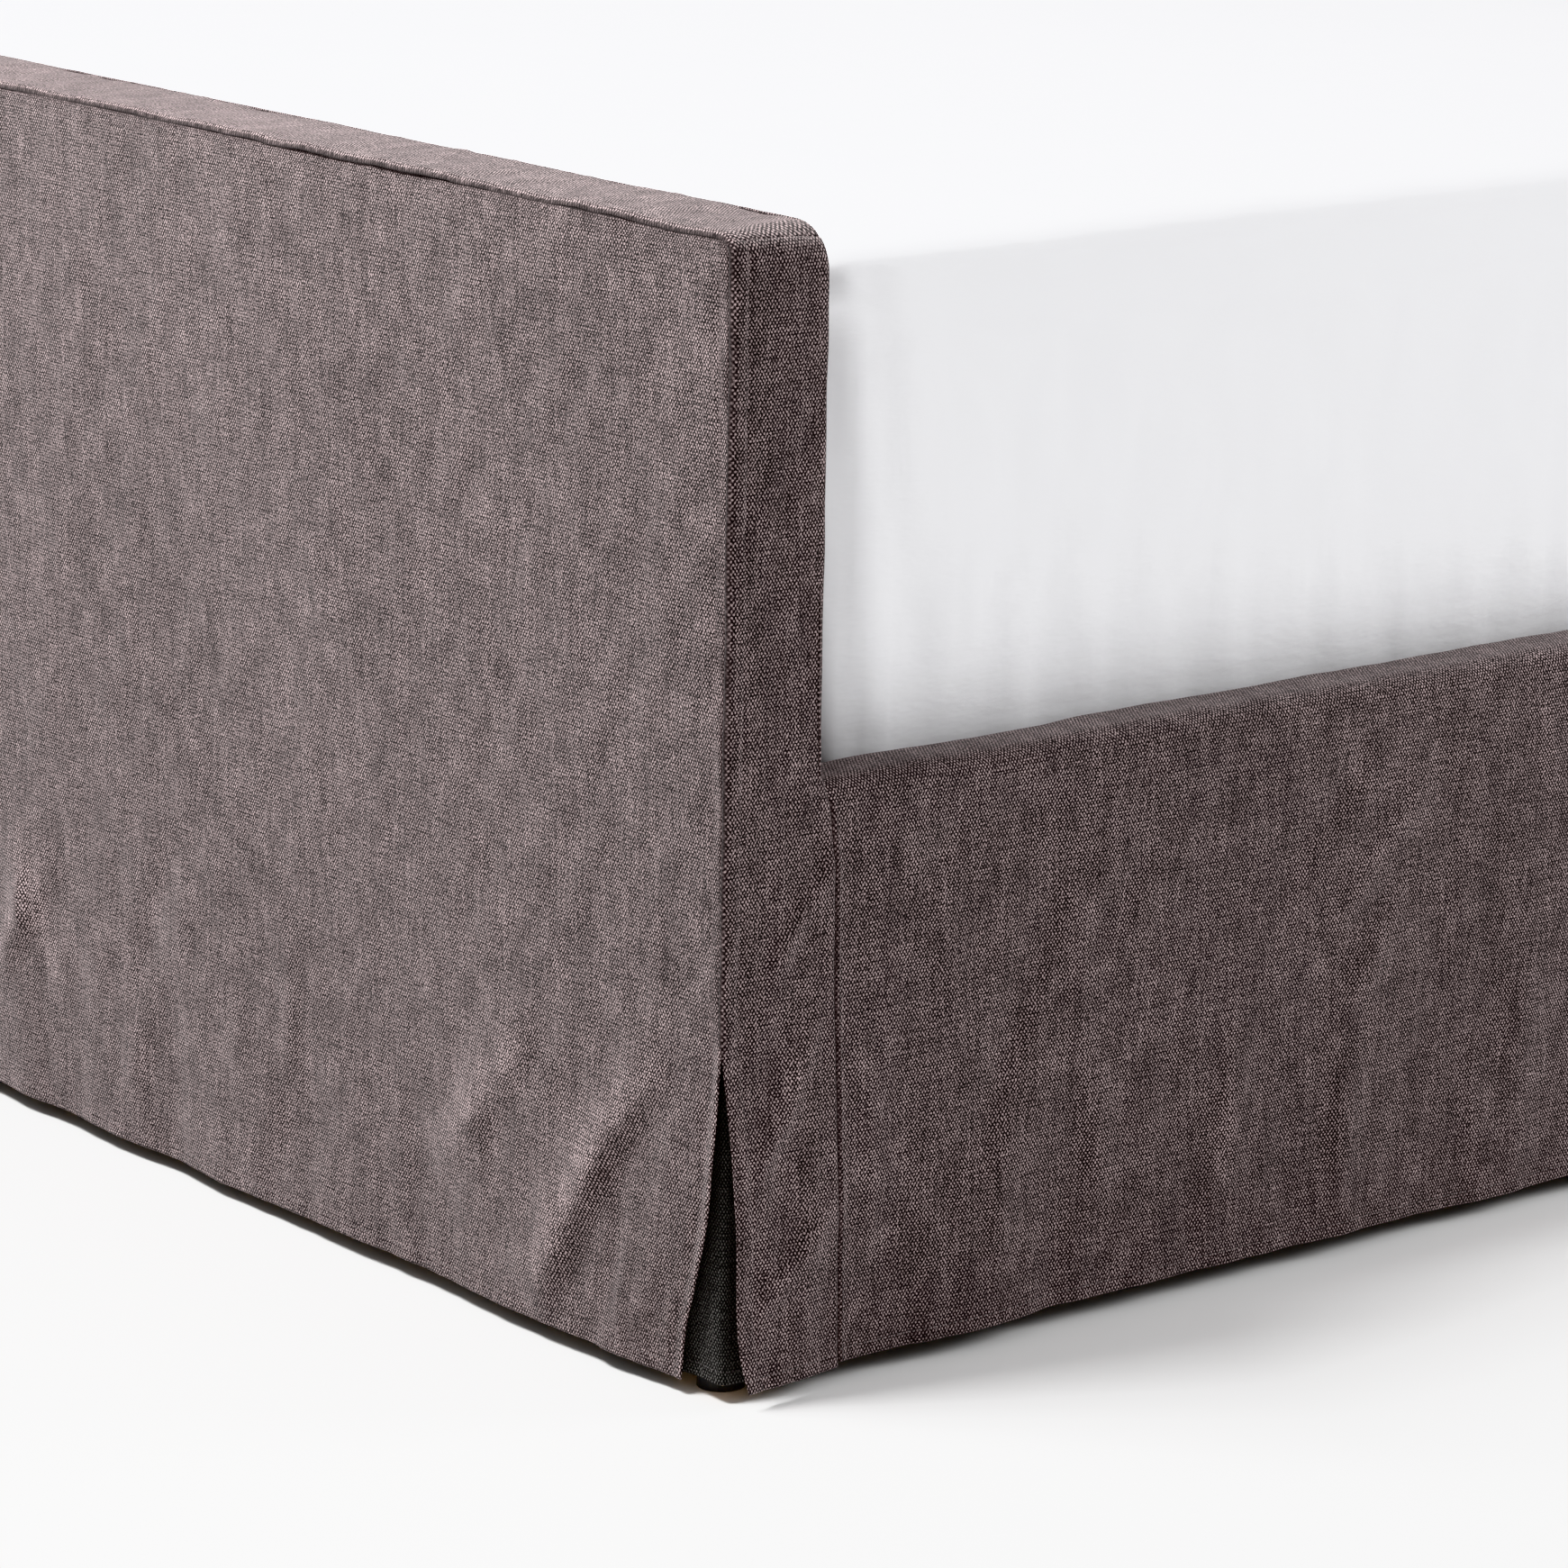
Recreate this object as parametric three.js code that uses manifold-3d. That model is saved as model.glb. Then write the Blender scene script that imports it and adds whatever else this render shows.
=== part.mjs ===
// Slipcovered queen bed: straight boxed footboard and headboard, two padded side rails,
// a slat deck on a centre beam, and a mattress in a fitted sheet.
// Millimetres, +Z up. The origin is the middle of the bed's footprint, on the floor.
// The foot is at -Y and the head at +Y. Right is +X, as seen by someone standing at the foot.

import * as THREE from "three";
import { mergeVertices } from "three/addons/utils/BufferGeometryUtils.js";
import Module from "manifold-3d";

// ---------------------------------------------------------------- driving dimensions
const CLOTH = 3; // cover cloth with its lining
const GAP = 0.3; // air between two pieces that touch
const ARC_STEPS = 10; // straight steps in a quarter of a rounded corner

const MATTRESS = { width: 1524, length: 2032, cornerRadius: 60 };
const MATTRESS_ROOM = 10; // air all round the mattress
const SHEET_THICKNESS = 2;
const SHEET_TOP = 735;
const SHEET_SKIRT = 10; // the sheet stops this far above the mattress's underside

const BOARD = { thickness: 77, cornerRadius: 28, padding: 12.4 };
const FOOTBOARD_HEIGHT = 760;
const HEADBOARD_HEIGHT = 1220;
const HEM = 12; // height of the cover's hem above the floor
const POST_WIDTH = 60;
const TOP_RAIL_HEIGHT = 70;
const BOTTOM_RAIL = { bottom: 60, height: 90 };
const GLIDE = { radius: 16 };
const ROUND_SIDES = 24; // flat sides on a turned part
const PAST = 10; // how far a cutting shape runs past what it cuts

const RAIL = { thickness: 45, top: 405, bottom: 130, cornerRadius: 12, innerRadius: 4, padding: 6 };
const LEDGER = { width: 38, height: 35, endGap: 12 };

// The kick pleat: the cover is open at each corner below this height, and both flaps slant away.
const PLEAT = { top: 242, frontFlare: 45, endFlare: 18, recess: 9.7, frontLeg: 107, endLeg: 50 };
const PLEAT_HEM = 24; // the pleat's insert hangs shorter than the cover
const PADDING_BOTTOM = 250; // the boards' padding stops just above the pleat
const INNER_COVER_BOTTOM = 246;
const END_STRIP_LAP = 12; // below the rail's top the end strip runs this far on to the rail

const SLAT = { count: 11, width: 110, thickness: 20, top: 355, length: 1540 };
const BEAM = { width: 60, height: 70, endGap: 6 };
const LEG = { width: 50, y: 450 };
const LEVELER = { discRadius: 20, discHeight: 8, stemRadius: 5, stemLength: 47, clearance: 0.3 };
const LEVELER_BORE_DEPTH = 55;

const BRACKET = { thickness: 4, height: 95, bottom: 140, postLeg: 44, railLeg: 120 };
const BOLT_HEAD = { radius: 6.5, height: 5, sides: 6, sunk: 0.5 };

// ---------------------------------------------------------------- derived dimensions
const HALF_WIDTH = MATTRESS.width / 2 + MATTRESS_ROOM + RAIL.thickness;
const HALF_LENGTH = MATTRESS.length / 2 + MATTRESS_ROOM + BOARD.thickness;
const FRAME_INSET = CLOTH + GAP + BOARD.padding + GAP; // from the cover's face to the wood
const FRAME_BACK = BOARD.thickness - FRAME_INSET; // the wood's far face, from the board's outer face
const FRAME_SIDE = HALF_WIDTH - FRAME_INSET;
const POST_INSIDE = FRAME_SIDE - POST_WIDTH;
const RAIL_INSIDE = HALF_WIDTH - RAIL.thickness;
const RAIL_BOARD_INSIDE = RAIL_INSIDE + CLOTH + GAP;
const RAIL_BOARD_OUTSIDE = HALF_WIDTH - CLOTH - GAP - RAIL.padding - GAP;
const RAIL_BOARD_TOP = RAIL.top - CLOTH - GAP - RAIL.padding - GAP;
const DECK_BOTTOM = SLAT.top - SLAT.thickness;
const BEAM_BOTTOM = DECK_BOTTOM - GAP - BEAM.height;

// ---------------------------------------------------------------- finishes
const FINISHES = {
  cover: { color: 0x796d6d, roughness: 0.95, metalness: 0 },
  pleat: { color: 0x4a4141, roughness: 0.97, metalness: 0 },
  padding: { color: 0xe8e0c8, roughness: 0.95, metalness: 0 },
  hardwood: { color: 0xc79f6b, roughness: 0.65, metalness: 0 },
  board: { color: 0xb98f5e, roughness: 0.8, metalness: 0 },
  slat: { color: 0xdcb98a, roughness: 0.6, metalness: 0 },
  steel: { color: 0x2e2f31, roughness: 0.45, metalness: 0.8 },
  nylon: { color: 0x1f1f20, roughness: 0.5, metalness: 0 },
  linen: { color: 0xf2f2f4, roughness: 0.9, metalness: 0 },
  ticking: { color: 0xe9e6df, roughness: 0.9, metalness: 0 },
};

// ---------------------------------------------------------------- shapes
const wasm = await Module();
wasm.setup();

function solidOf(geometry) {
  const bare = geometry.clone();
  bare.deleteAttribute("normal");
  bare.deleteAttribute("uv");
  const merged = mergeVertices(bare, 1e-4);
  const vertProperties = new Float32Array(merged.attributes.position.array);
  const triVerts = new Uint32Array(merged.index.array);
  return new wasm.Manifold(new wasm.Mesh({ numProp: 3, vertProperties, triVerts }));
}

function geometryOf(solid) {
  const { vertProperties, triVerts } = solid.getMesh();
  const geometry = new THREE.BufferGeometry();
  geometry.setAttribute("position", new THREE.BufferAttribute(vertProperties, 3));
  geometry.setIndex(new THREE.BufferAttribute(triVerts, 1));
  geometry.computeVertexNormals();
  return geometry;
}

function join(...geometries) {
  return geometryOf(geometries.map(solidOf).reduce((all, next) => all.add(next)));
}

function cut(geometry, ...tools) {
  return geometryOf(tools.map(solidOf).reduce((all, tool) => all.subtract(tool), solidOf(geometry)));
}

function box([x0, x1], [y0, y1], [z0, z1]) {
  const geometry = new THREE.BoxGeometry(x1 - x0, y1 - y0, z1 - z0);
  return geometry.translate((x0 + x1) / 2, (y0 + y1) / 2, (z0 + z1) / 2);
}

function extrude(shape, depth) {
  return new THREE.ExtrudeGeometry(shape, { depth, bevelEnabled: false, curveSegments: ARC_STEPS });
}

// An outline drawn in X and Z, run along Y.
function alongY(shape, [y0, y1]) {
  return extrude(shape, y1 - y0).rotateX(Math.PI / 2).translate(0, y1, 0);
}

// An outline drawn in Y and Z, run along X.
function alongX(shape, [x0, x1]) {
  const turn = new THREE.Matrix4().makeBasis(
    new THREE.Vector3(0, 1, 0),
    new THREE.Vector3(0, 0, 1),
    new THREE.Vector3(1, 0, 0),
  );
  return extrude(shape, x1 - x0).applyMatrix4(turn).translate(x0, 0, 0);
}

// An outline drawn in X and Y, run along Z.
function alongZ(shape, [z0, z1]) {
  return extrude(shape, z1 - z0).translate(0, 0, z0);
}

function polygon(points) {
  return new THREE.Shape(points.map(([a, b]) => new THREE.Vector2(a, b)));
}

function roundedRectangle(halfX, halfY, radius) {
  const shape = new THREE.Shape();
  shape.moveTo(halfX, radius - halfY);
  shape.absarc(halfX - radius, halfY - radius, radius, 0, Math.PI / 2);
  shape.absarc(radius - halfX, halfY - radius, radius, Math.PI / 2, Math.PI);
  shape.absarc(radius - halfX, radius - halfY, radius, Math.PI, 1.5 * Math.PI);
  shape.absarc(halfX - radius, radius - halfY, radius, 1.5 * Math.PI, 2 * Math.PI);
  return shape;
}

// A board's outline in X and Z, with rounded top corners. `inset` is how far it lies inside the
// cover's face, and `rightEdge` is its right-hand edge from the bottom up, mirrored on the left.
function boardOutline(height, inset, rightEdge) {
  const side = HALF_WIDTH - inset;
  const top = height - inset;
  const radius = BOARD.cornerRadius - inset;
  const shape = new THREE.Shape();
  rightEdge.forEach(([x, z], i) => (i ? shape.lineTo(x, z) : shape.moveTo(x, z)));
  shape.lineTo(side, top - radius);
  shape.absarc(side - radius, top - radius, radius, 0, Math.PI / 2);
  shape.absarc(radius - side, top - radius, radius, Math.PI / 2, Math.PI);
  [...rightEdge].reverse().forEach(([x, z]) => shape.lineTo(-x, z));
  return shape;
}

// ---------------------------------------------------------------- the tree
const bed = new THREE.Group();

function place(group, name, geometry, finish) {
  const mesh = new THREE.Mesh(geometry, new THREE.MeshStandardMaterial(FINISHES[finish]));
  mesh.name = name;
  group.add(mesh);
  return mesh;
}

// A pair of pieces: the right one as drawn, and its mirror image on the left.
function placePair(group, nameOf, geometry, finish) {
  place(group, nameOf("right"), geometry, finish);
  place(group, nameOf("left"), geometry, finish).scale.x = -1;
}

// ---------------------------------------------------------------- footboard and headboard
// A board is drawn with its outer face at y = 0 and its inner face, towards the mattress,
// at y = BOARD.thickness.
const frameDepth = [FRAME_INSET, FRAME_BACK];

function boardFrame(group, prefix, height) {
  const frameTop = height - FRAME_INSET;
  const topRailBottom = frameTop - TOP_RAIL_HEIGHT;
  const topRail = boardOutline(height, FRAME_INSET, [[FRAME_SIDE, topRailBottom]]);
  const between = [GAP - POST_INSIDE, POST_INSIDE - GAP];
  const bottomRailTop = BOTTOM_RAIL.bottom + BOTTOM_RAIL.height;
  const bottomRail = box(between, frameDepth, [BOTTOM_RAIL.bottom, bottomRailTop]);
  const core = box(between, frameDepth, [bottomRailTop + GAP, topRailBottom - GAP]);
  const post = box([POST_INSIDE, FRAME_SIDE], frameDepth, [HEM, topRailBottom - GAP]);
  place(group, `${prefix}_top_rail`, alongY(topRail, frameDepth), "hardwood");
  place(group, `${prefix}_bottom_rail`, bottomRail, "hardwood");
  place(group, `${prefix}_core_panel`, core, "board");
  placePair(group, (side) => `${prefix}_post_${side}`, post, "hardwood");
}

function boardGlides(group, prefix) {
  const { radius } = GLIDE;
  const height = HEM - GAP;
  const glide = new THREE.CylinderGeometry(radius, radius, height, ROUND_SIDES);
  glide.rotateX(Math.PI / 2);
  glide.translate(FRAME_SIDE - POST_WIDTH / 2, BOARD.thickness / 2, height / 2);
  placePair(group, (side) => `${prefix}_glide_${side}`, glide, "nylon");
}

// Padding: a box of wadding open at the bottom, notched where the side rails reach the posts.
function boardPadding(group, prefix, height) {
  const skinInset = CLOTH + GAP;
  const coreInset = FRAME_INSET - GAP;
  const below = PADDING_BOTTOM - PAST;
  const depth = [skinInset, BOARD.thickness - skinInset];
  const outer = boardOutline(height, skinInset, [[HALF_WIDTH - skinInset, PADDING_BOTTOM]]);
  const inner = boardOutline(height, coreInset, [[HALF_WIDTH - coreInset, below]]);
  const hollow = alongY(inner, [coreInset, BOARD.thickness - coreInset]);
  const notches = [1, -1].map((side) => {
    const reach = [side * (RAIL_INSIDE - GAP), side * (HALF_WIDTH + CLOTH)].sort((a, b) => a - b);
    return box(reach, [FRAME_BACK, BOARD.thickness], [below, RAIL.top + GAP]);
  });
  place(group, `${prefix}_padding`, cut(alongY(outer, depth), hollow, ...notches), "padding");
}

function boardFaces(group, prefix, height) {
  const pleatEdge = [[HALF_WIDTH - PLEAT.frontFlare, HEM], [HALF_WIDTH, PLEAT.top]];
  const railEdge = [
    [RAIL_INSIDE - GAP, INNER_COVER_BOTTOM],
    [RAIL_INSIDE - GAP, RAIL.top + GAP],
    [HALF_WIDTH, RAIL.top + GAP],
  ];
  const outer = alongY(boardOutline(height, 0, pleatEdge), [0, CLOTH]);
  const innerDepth = [BOARD.thickness - CLOTH, BOARD.thickness];
  const inner = alongY(boardOutline(height, 0, railEdge), innerDepth);
  place(group, `${prefix}_cover_outer`, outer, "cover");
  place(group, `${prefix}_cover_inner`, inner, "cover");
}

// The boxing strips run round the board's edge and meet in the middle of each rounded corner.
function boardStrips(group, prefix, height) {
  const radius = BOARD.cornerRadius;
  const inside = radius - CLOTH;
  const turnX = HALF_WIDTH - radius;
  const turnZ = height - radius;
  const depth = [CLOTH + GAP, BOARD.thickness - CLOTH - GAP];
  const meet = Math.PI / 4;
  const seam = GAP / 2 / inside;

  const top = new THREE.Shape();
  top.absarc(turnX, turnZ, radius, meet + seam, Math.PI / 2);
  top.absarc(-turnX, turnZ, radius, Math.PI / 2, Math.PI - meet - seam);
  top.absarc(-turnX, turnZ, inside, Math.PI - meet - seam, Math.PI / 2, true);
  top.absarc(turnX, turnZ, inside, Math.PI / 2, meet + seam, true);
  place(group, `${prefix}_cover_top`, alongY(top, depth), "cover");

  const bend = new THREE.Shape();
  bend.moveTo(turnX + inside, turnZ - CLOTH);
  bend.lineTo(turnX + radius, turnZ - CLOTH);
  bend.absarc(turnX, turnZ, radius, 0, meet - seam);
  bend.absarc(turnX, turnZ, inside, meet - seam, 0, true);

  const lap = BOARD.thickness + END_STRIP_LAP;
  const strip = polygon([
    [depth[0] + PLEAT.endFlare, HEM],
    [lap, HEM],
    [lap, RAIL.top - END_STRIP_LAP],
    [BOARD.thickness, RAIL.top],
    [depth[1], RAIL.top],
    [depth[1], turnZ],
    [depth[0], turnZ],
    [depth[0], PLEAT.top],
  ]);
  const plate = alongX(strip, [HALF_WIDTH - CLOTH, HALF_WIDTH]);
  const end = join(plate, alongY(bend, depth));
  placePair(group, (side) => `${prefix}_cover_end_${side}`, end, "cover");
}

// The insert of cloth that shows inside the open corner, folded round the post.
function boardPleats(group, prefix) {
  const outerX = HALF_WIDTH - PLEAT.recess;
  const outerY = PLEAT.recess;
  const fold = polygon([
    [outerX - PLEAT.frontLeg, outerY],
    [outerX, outerY],
    [outerX, outerY + PLEAT.endLeg],
    [outerX - CLOTH, outerY + PLEAT.endLeg],
    [outerX - CLOTH, outerY + CLOTH],
    [outerX - PLEAT.frontLeg, outerY + CLOTH],
  ]);
  const insert = alongZ(fold, [PLEAT_HEM, PADDING_BOTTOM - 1]);
  placePair(group, (side) => `${prefix}_pleat_${side}`, insert, "pleat");
}

// A steel angle that bolts a side rail's board to a post.
function boardBrackets(group, prefix) {
  const { thickness, height, bottom, postLeg, railLeg } = BRACKET;
  const corner = RAIL_BOARD_INSIDE - GAP;
  const face = FRAME_BACK + GAP;
  const angle = alongZ(
    polygon([
      [corner - postLeg, face],
      [corner, face],
      [corner, face + railLeg],
      [corner - thickness, face + railLeg],
      [corner - thickness, face + thickness],
      [corner - postLeg, face + thickness],
    ]),
    [bottom, bottom + height],
  );
  const middle = bottom + height / 2;
  const { radius, sides } = BOLT_HEAD;
  const head = () => new THREE.CylinderGeometry(radius, radius, BOLT_HEAD.height, sides);
  const proud = BOLT_HEAD.height / 2 - BOLT_HEAD.sunk;
  const postHeads = [-1, 1].map((step) => {
    const x = corner - postLeg / 2 - thickness;
    return head().translate(x, face + thickness + proud, middle + (step * height) / 4);
  });
  const railHeads = [1, 2].map((third) => {
    const y = face + (third * railLeg) / 3;
    return head().rotateZ(Math.PI / 2).translate(corner - thickness - proud, y, middle);
  });
  const bracket = join(angle, ...postHeads, ...railHeads);
  placePair(group, (side) => `${prefix}_bracket_${side}`, bracket, "steel");
}

function addBoard(prefix, height, end) {
  const group = new THREE.Group();
  group.position.y = end * HALF_LENGTH;
  group.scale.y = -end; // a board's inner face always looks towards the mattress
  boardFrame(group, prefix, height);
  boardGlides(group, prefix);
  boardPadding(group, prefix, height);
  boardFaces(group, prefix, height);
  boardStrips(group, prefix, height);
  boardPleats(group, prefix);
  boardBrackets(group, prefix);
  bed.add(group);
}

// ---------------------------------------------------------------- side rails
function railCover() {
  const { top, cornerRadius: radius, innerRadius } = RAIL;
  const innerHem = SLAT.top + CLOTH;
  const outer = new THREE.Shape();
  outer.moveTo(HALF_WIDTH, HEM);
  outer.lineTo(HALF_WIDTH, top - radius);
  outer.absarc(HALF_WIDTH - radius, top - radius, radius, 0, Math.PI / 2);
  outer.absarc(RAIL_INSIDE + innerRadius, top - innerRadius, innerRadius, Math.PI / 2, Math.PI);
  outer.lineTo(RAIL_INSIDE, innerHem);
  outer.lineTo(RAIL_INSIDE + CLOTH, innerHem);
  outer.lineTo(RAIL_INSIDE + CLOTH, top - CLOTH);
  outer.absarc(HALF_WIDTH - radius, top - radius, radius - CLOTH, Math.PI / 2, 0, true);
  outer.lineTo(HALF_WIDTH - CLOTH, HEM);

  // Beside each board only the top and the inner leg run on, behind the board's end strip.
  const tongueX = HALF_WIDTH - radius - CLOTH;
  const tongue = new THREE.Shape();
  tongue.moveTo(tongueX, top);
  tongue.lineTo(RAIL_INSIDE + innerRadius, top);
  tongue.absarc(RAIL_INSIDE + innerRadius, top - innerRadius, innerRadius, Math.PI / 2, Math.PI);
  tongue.lineTo(RAIL_INSIDE, innerHem);
  tongue.lineTo(RAIL_INSIDE + CLOTH, innerHem);
  tongue.lineTo(RAIL_INSIDE + CLOTH, top - CLOTH);
  tongue.lineTo(tongueX, top - CLOTH);

  const inner = HALF_LENGTH - BOARD.thickness - GAP;
  const lapped = inner - END_STRIP_LAP;
  return join(alongY(outer, [-lapped, lapped]), alongY(tongue, [-inner, inner]));
}

function railPadding() {
  const { top, cornerRadius: radius, bottom, padding } = RAIL;
  const skin = CLOTH + GAP;
  const outline = new THREE.Shape();
  outline.moveTo(HALF_WIDTH - skin - padding, bottom);
  outline.lineTo(HALF_WIDTH - skin, bottom);
  outline.absarc(HALF_WIDTH - radius, top - radius, radius - skin, 0, Math.PI / 2);
  outline.lineTo(RAIL_BOARD_INSIDE, top - skin);
  outline.lineTo(RAIL_BOARD_INSIDE, top - skin - padding);
  outline.lineTo(HALF_WIDTH - skin - padding, top - skin - padding);
  const reach = HALF_LENGTH - FRAME_BACK - GAP;
  return alongY(outline, [-reach, reach]);
}

function addRails() {
  const reach = HALF_LENGTH - FRAME_BACK - GAP;
  const across = [RAIL_BOARD_INSIDE, RAIL_BOARD_OUTSIDE];
  const board = box(across, [-reach, reach], [RAIL.bottom, RAIL_BOARD_TOP]);
  const ledgerReach = HALF_LENGTH - BOARD.thickness - LEDGER.endGap;
  const ledgerOutside = RAIL_BOARD_INSIDE - GAP;
  const ledgerTop = DECK_BOTTOM - GAP;
  const ledger = box(
    [ledgerOutside - LEDGER.width, ledgerOutside],
    [-ledgerReach, ledgerReach],
    [ledgerTop - LEDGER.height, ledgerTop],
  );
  placePair(bed, (side) => `rail_${side}_board`, board, "hardwood");
  placePair(bed, (side) => `rail_${side}_ledger`, ledger, "hardwood");
  placePair(bed, (side) => `rail_${side}_padding`, railPadding(), "padding");
  placePair(bed, (side) => `rail_${side}_cover`, railCover(), "cover");
}

// ---------------------------------------------------------------- slat deck
function addSlats() {
  const deckLength = MATTRESS.length + 2 * MATTRESS_ROOM;
  const pitch = deckLength / SLAT.count;
  const across = [-SLAT.length / 2, SLAT.length / 2];
  const slat = box(across, [-SLAT.width / 2, SLAT.width / 2], [DECK_BOTTOM, SLAT.top]);
  for (let i = 0; i < SLAT.count; i += 1) {
    const y = pitch * (i + 0.5) - deckLength / 2;
    const name = `slat_${String(i + 1).padStart(2, "0")}`;
    place(bed, name, slat, "slat").position.y = y;
  }
}

function cylinderUp(radius, bottom, top) {
  return new THREE.CylinderGeometry(radius, radius, top - bottom, ROUND_SIDES)
    .rotateX(Math.PI / 2)
    .translate(0, 0, (bottom + top) / 2);
}

function addCentreSupport() {
  const reach = HALF_LENGTH - BOARD.thickness - BEAM.endGap;
  const beamWidth = [-BEAM.width / 2, BEAM.width / 2];
  const beam = box(beamWidth, [-reach, reach], [BEAM_BOTTOM, BEAM_BOTTOM + BEAM.height]);
  place(bed, "centre_beam", beam, "hardwood");

  const { discRadius, discHeight, stemRadius, stemLength, clearance } = LEVELER;
  const legBottom = discHeight + GAP;
  const half = LEG.width / 2;
  const boreTop = legBottom + LEVELER_BORE_DEPTH;
  const bore = cylinderUp(stemRadius + clearance, legBottom - PAST, boreTop);
  const leg = cut(box([-half, half], [-half, half], [legBottom, BEAM_BOTTOM - GAP]), bore);
  const disc = cylinderUp(discRadius, 0, discHeight);
  const stem = cylinderUp(stemRadius, discHeight / 2, discHeight + stemLength);
  const leveler = join(disc, stem);
  for (const [end, sign] of [["foot", -1], ["head", 1]]) {
    place(bed, `centre_leg_${end}`, leg, "hardwood").position.y = sign * LEG.y;
    place(bed, `leveler_${end}`, leveler, "nylon").position.y = sign * LEG.y;
  }
}

// ---------------------------------------------------------------- mattress and sheet
function addMattress() {
  const { width, length, cornerRadius: radius } = MATTRESS;
  const outline = (grow) => roundedRectangle(width / 2 + grow, length / 2 + grow, radius + grow);
  const bottom = SLAT.top + GAP;
  const top = SHEET_TOP - SHEET_THICKNESS - GAP;
  place(bed, "mattress", alongZ(outline(0), [bottom, top]), "ticking");

  const skirt = bottom + SHEET_SKIRT;
  const outside = alongZ(outline(GAP + SHEET_THICKNESS), [skirt, SHEET_TOP]);
  const inside = alongZ(outline(GAP), [skirt - PAST, top + GAP]);
  place(bed, "fitted_sheet", cut(outside, inside), "linen");
}

addBoard("footboard", FOOTBOARD_HEIGHT, -1);
addBoard("headboard", HEADBOARD_HEIGHT, 1);
addRails();
addSlats();
addCentreSupport();
addMattress();

export default bed;
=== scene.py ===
import math

import bmesh
import bpy
import numpy as np
from mathutils import Matrix, Vector


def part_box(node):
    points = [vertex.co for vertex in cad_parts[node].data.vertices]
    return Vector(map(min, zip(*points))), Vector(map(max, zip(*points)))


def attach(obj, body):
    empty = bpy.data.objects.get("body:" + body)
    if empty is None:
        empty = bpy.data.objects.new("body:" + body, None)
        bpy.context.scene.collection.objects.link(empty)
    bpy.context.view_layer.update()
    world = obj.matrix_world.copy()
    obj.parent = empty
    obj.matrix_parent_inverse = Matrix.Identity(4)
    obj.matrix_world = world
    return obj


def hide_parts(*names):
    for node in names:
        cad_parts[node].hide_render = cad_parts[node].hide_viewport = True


# Looks for the slipcovered queen bed. Metres, +Z up, foot at -Y, head at +Y, right is +X.

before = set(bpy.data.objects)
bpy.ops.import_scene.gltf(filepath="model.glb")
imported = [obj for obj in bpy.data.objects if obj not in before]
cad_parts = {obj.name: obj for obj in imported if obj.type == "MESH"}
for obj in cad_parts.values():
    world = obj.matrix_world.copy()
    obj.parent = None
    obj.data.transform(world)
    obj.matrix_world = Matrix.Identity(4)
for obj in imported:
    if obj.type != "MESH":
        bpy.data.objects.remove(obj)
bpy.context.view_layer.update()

MM = 0.001
TAU = 2 * math.pi


# ---------------------------------------------------------------- places, all from the frame
outer_low, outer_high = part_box("footboard_cover_outer")
inner_low, inner_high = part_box("footboard_cover_inner")
rail_low, rail_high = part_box("rail_right_cover")
head_low, head_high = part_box("headboard_cover_outer")
pleat_low, pleat_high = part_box("footboard_pleat_right")

HALF_WIDTH = outer_high.x
HALF_LENGTH = -outer_low.y
THICK = inner_high.y - outer_low.y  # a board, face to face
HEM = outer_low.z
RAIL_TOP = rail_high.z
RAIL_INSIDE = rail_low.x
RAIL_END = rail_high.y
PLEAT_TOP = 242 * MM
INNER_BOTTOM = inner_low.z
CLOTH = 1.8 * MM  # cover cloth
FRONT_RADIUS = 13 * MM  # a board's corner at its outer face
BACK_RADIUS = 30 * MM  # and at its inner face
RAIL_RADIUS = 14 * MM
RAIL_HEM = HEM + 3.5 * MM


# ---------------------------------------------------------------- numbers that bend smoothly
def step(value, low, high):
    """0 below low, 1 above high, and smooth between."""
    t = np.clip((value - low) / (high - low), 0, 1)
    return t * t * (3 - 2 * t)


def bump(value, middle, width):
    return np.exp(-(((value - middle) / width) ** 2))


def through(points, at):
    """A smooth curve through (at, value) points, level outside them."""
    x, y = np.array(sorted(points), float).T
    slope = np.gradient(y, x)
    at = np.clip(at, x[0], x[-1])
    i = np.clip(np.searchsorted(x, at) - 1, 0, len(x) - 2)
    gap = x[i + 1] - x[i]
    t = (at - x[i]) / gap
    return (
        (2 * t**3 - 3 * t**2 + 1) * y[i]
        + (t**3 - 2 * t**2 + t) * gap * slope[i]
        + (3 * t**2 - 2 * t**3) * y[i + 1]
        + (t**3 - t**2) * gap * slope[i + 1]
    )


def wander(seed, a, b, wave_a, wave_b, count=28):
    """Seeded smooth noise, about 1 high, with mean wavelengths wave_a and wave_b."""
    rng = np.random.default_rng(seed)
    total = np.zeros(np.broadcast(a, b).shape)
    for _ in range(count):
        turn_a, turn_b = rng.normal(size=2)
        phase = rng.uniform(0, TAU)
        total += np.cos(TAU * (turn_a * a / wave_a + turn_b * b / wave_b) + phase)
    return total / math.sqrt(count / 2)


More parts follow.
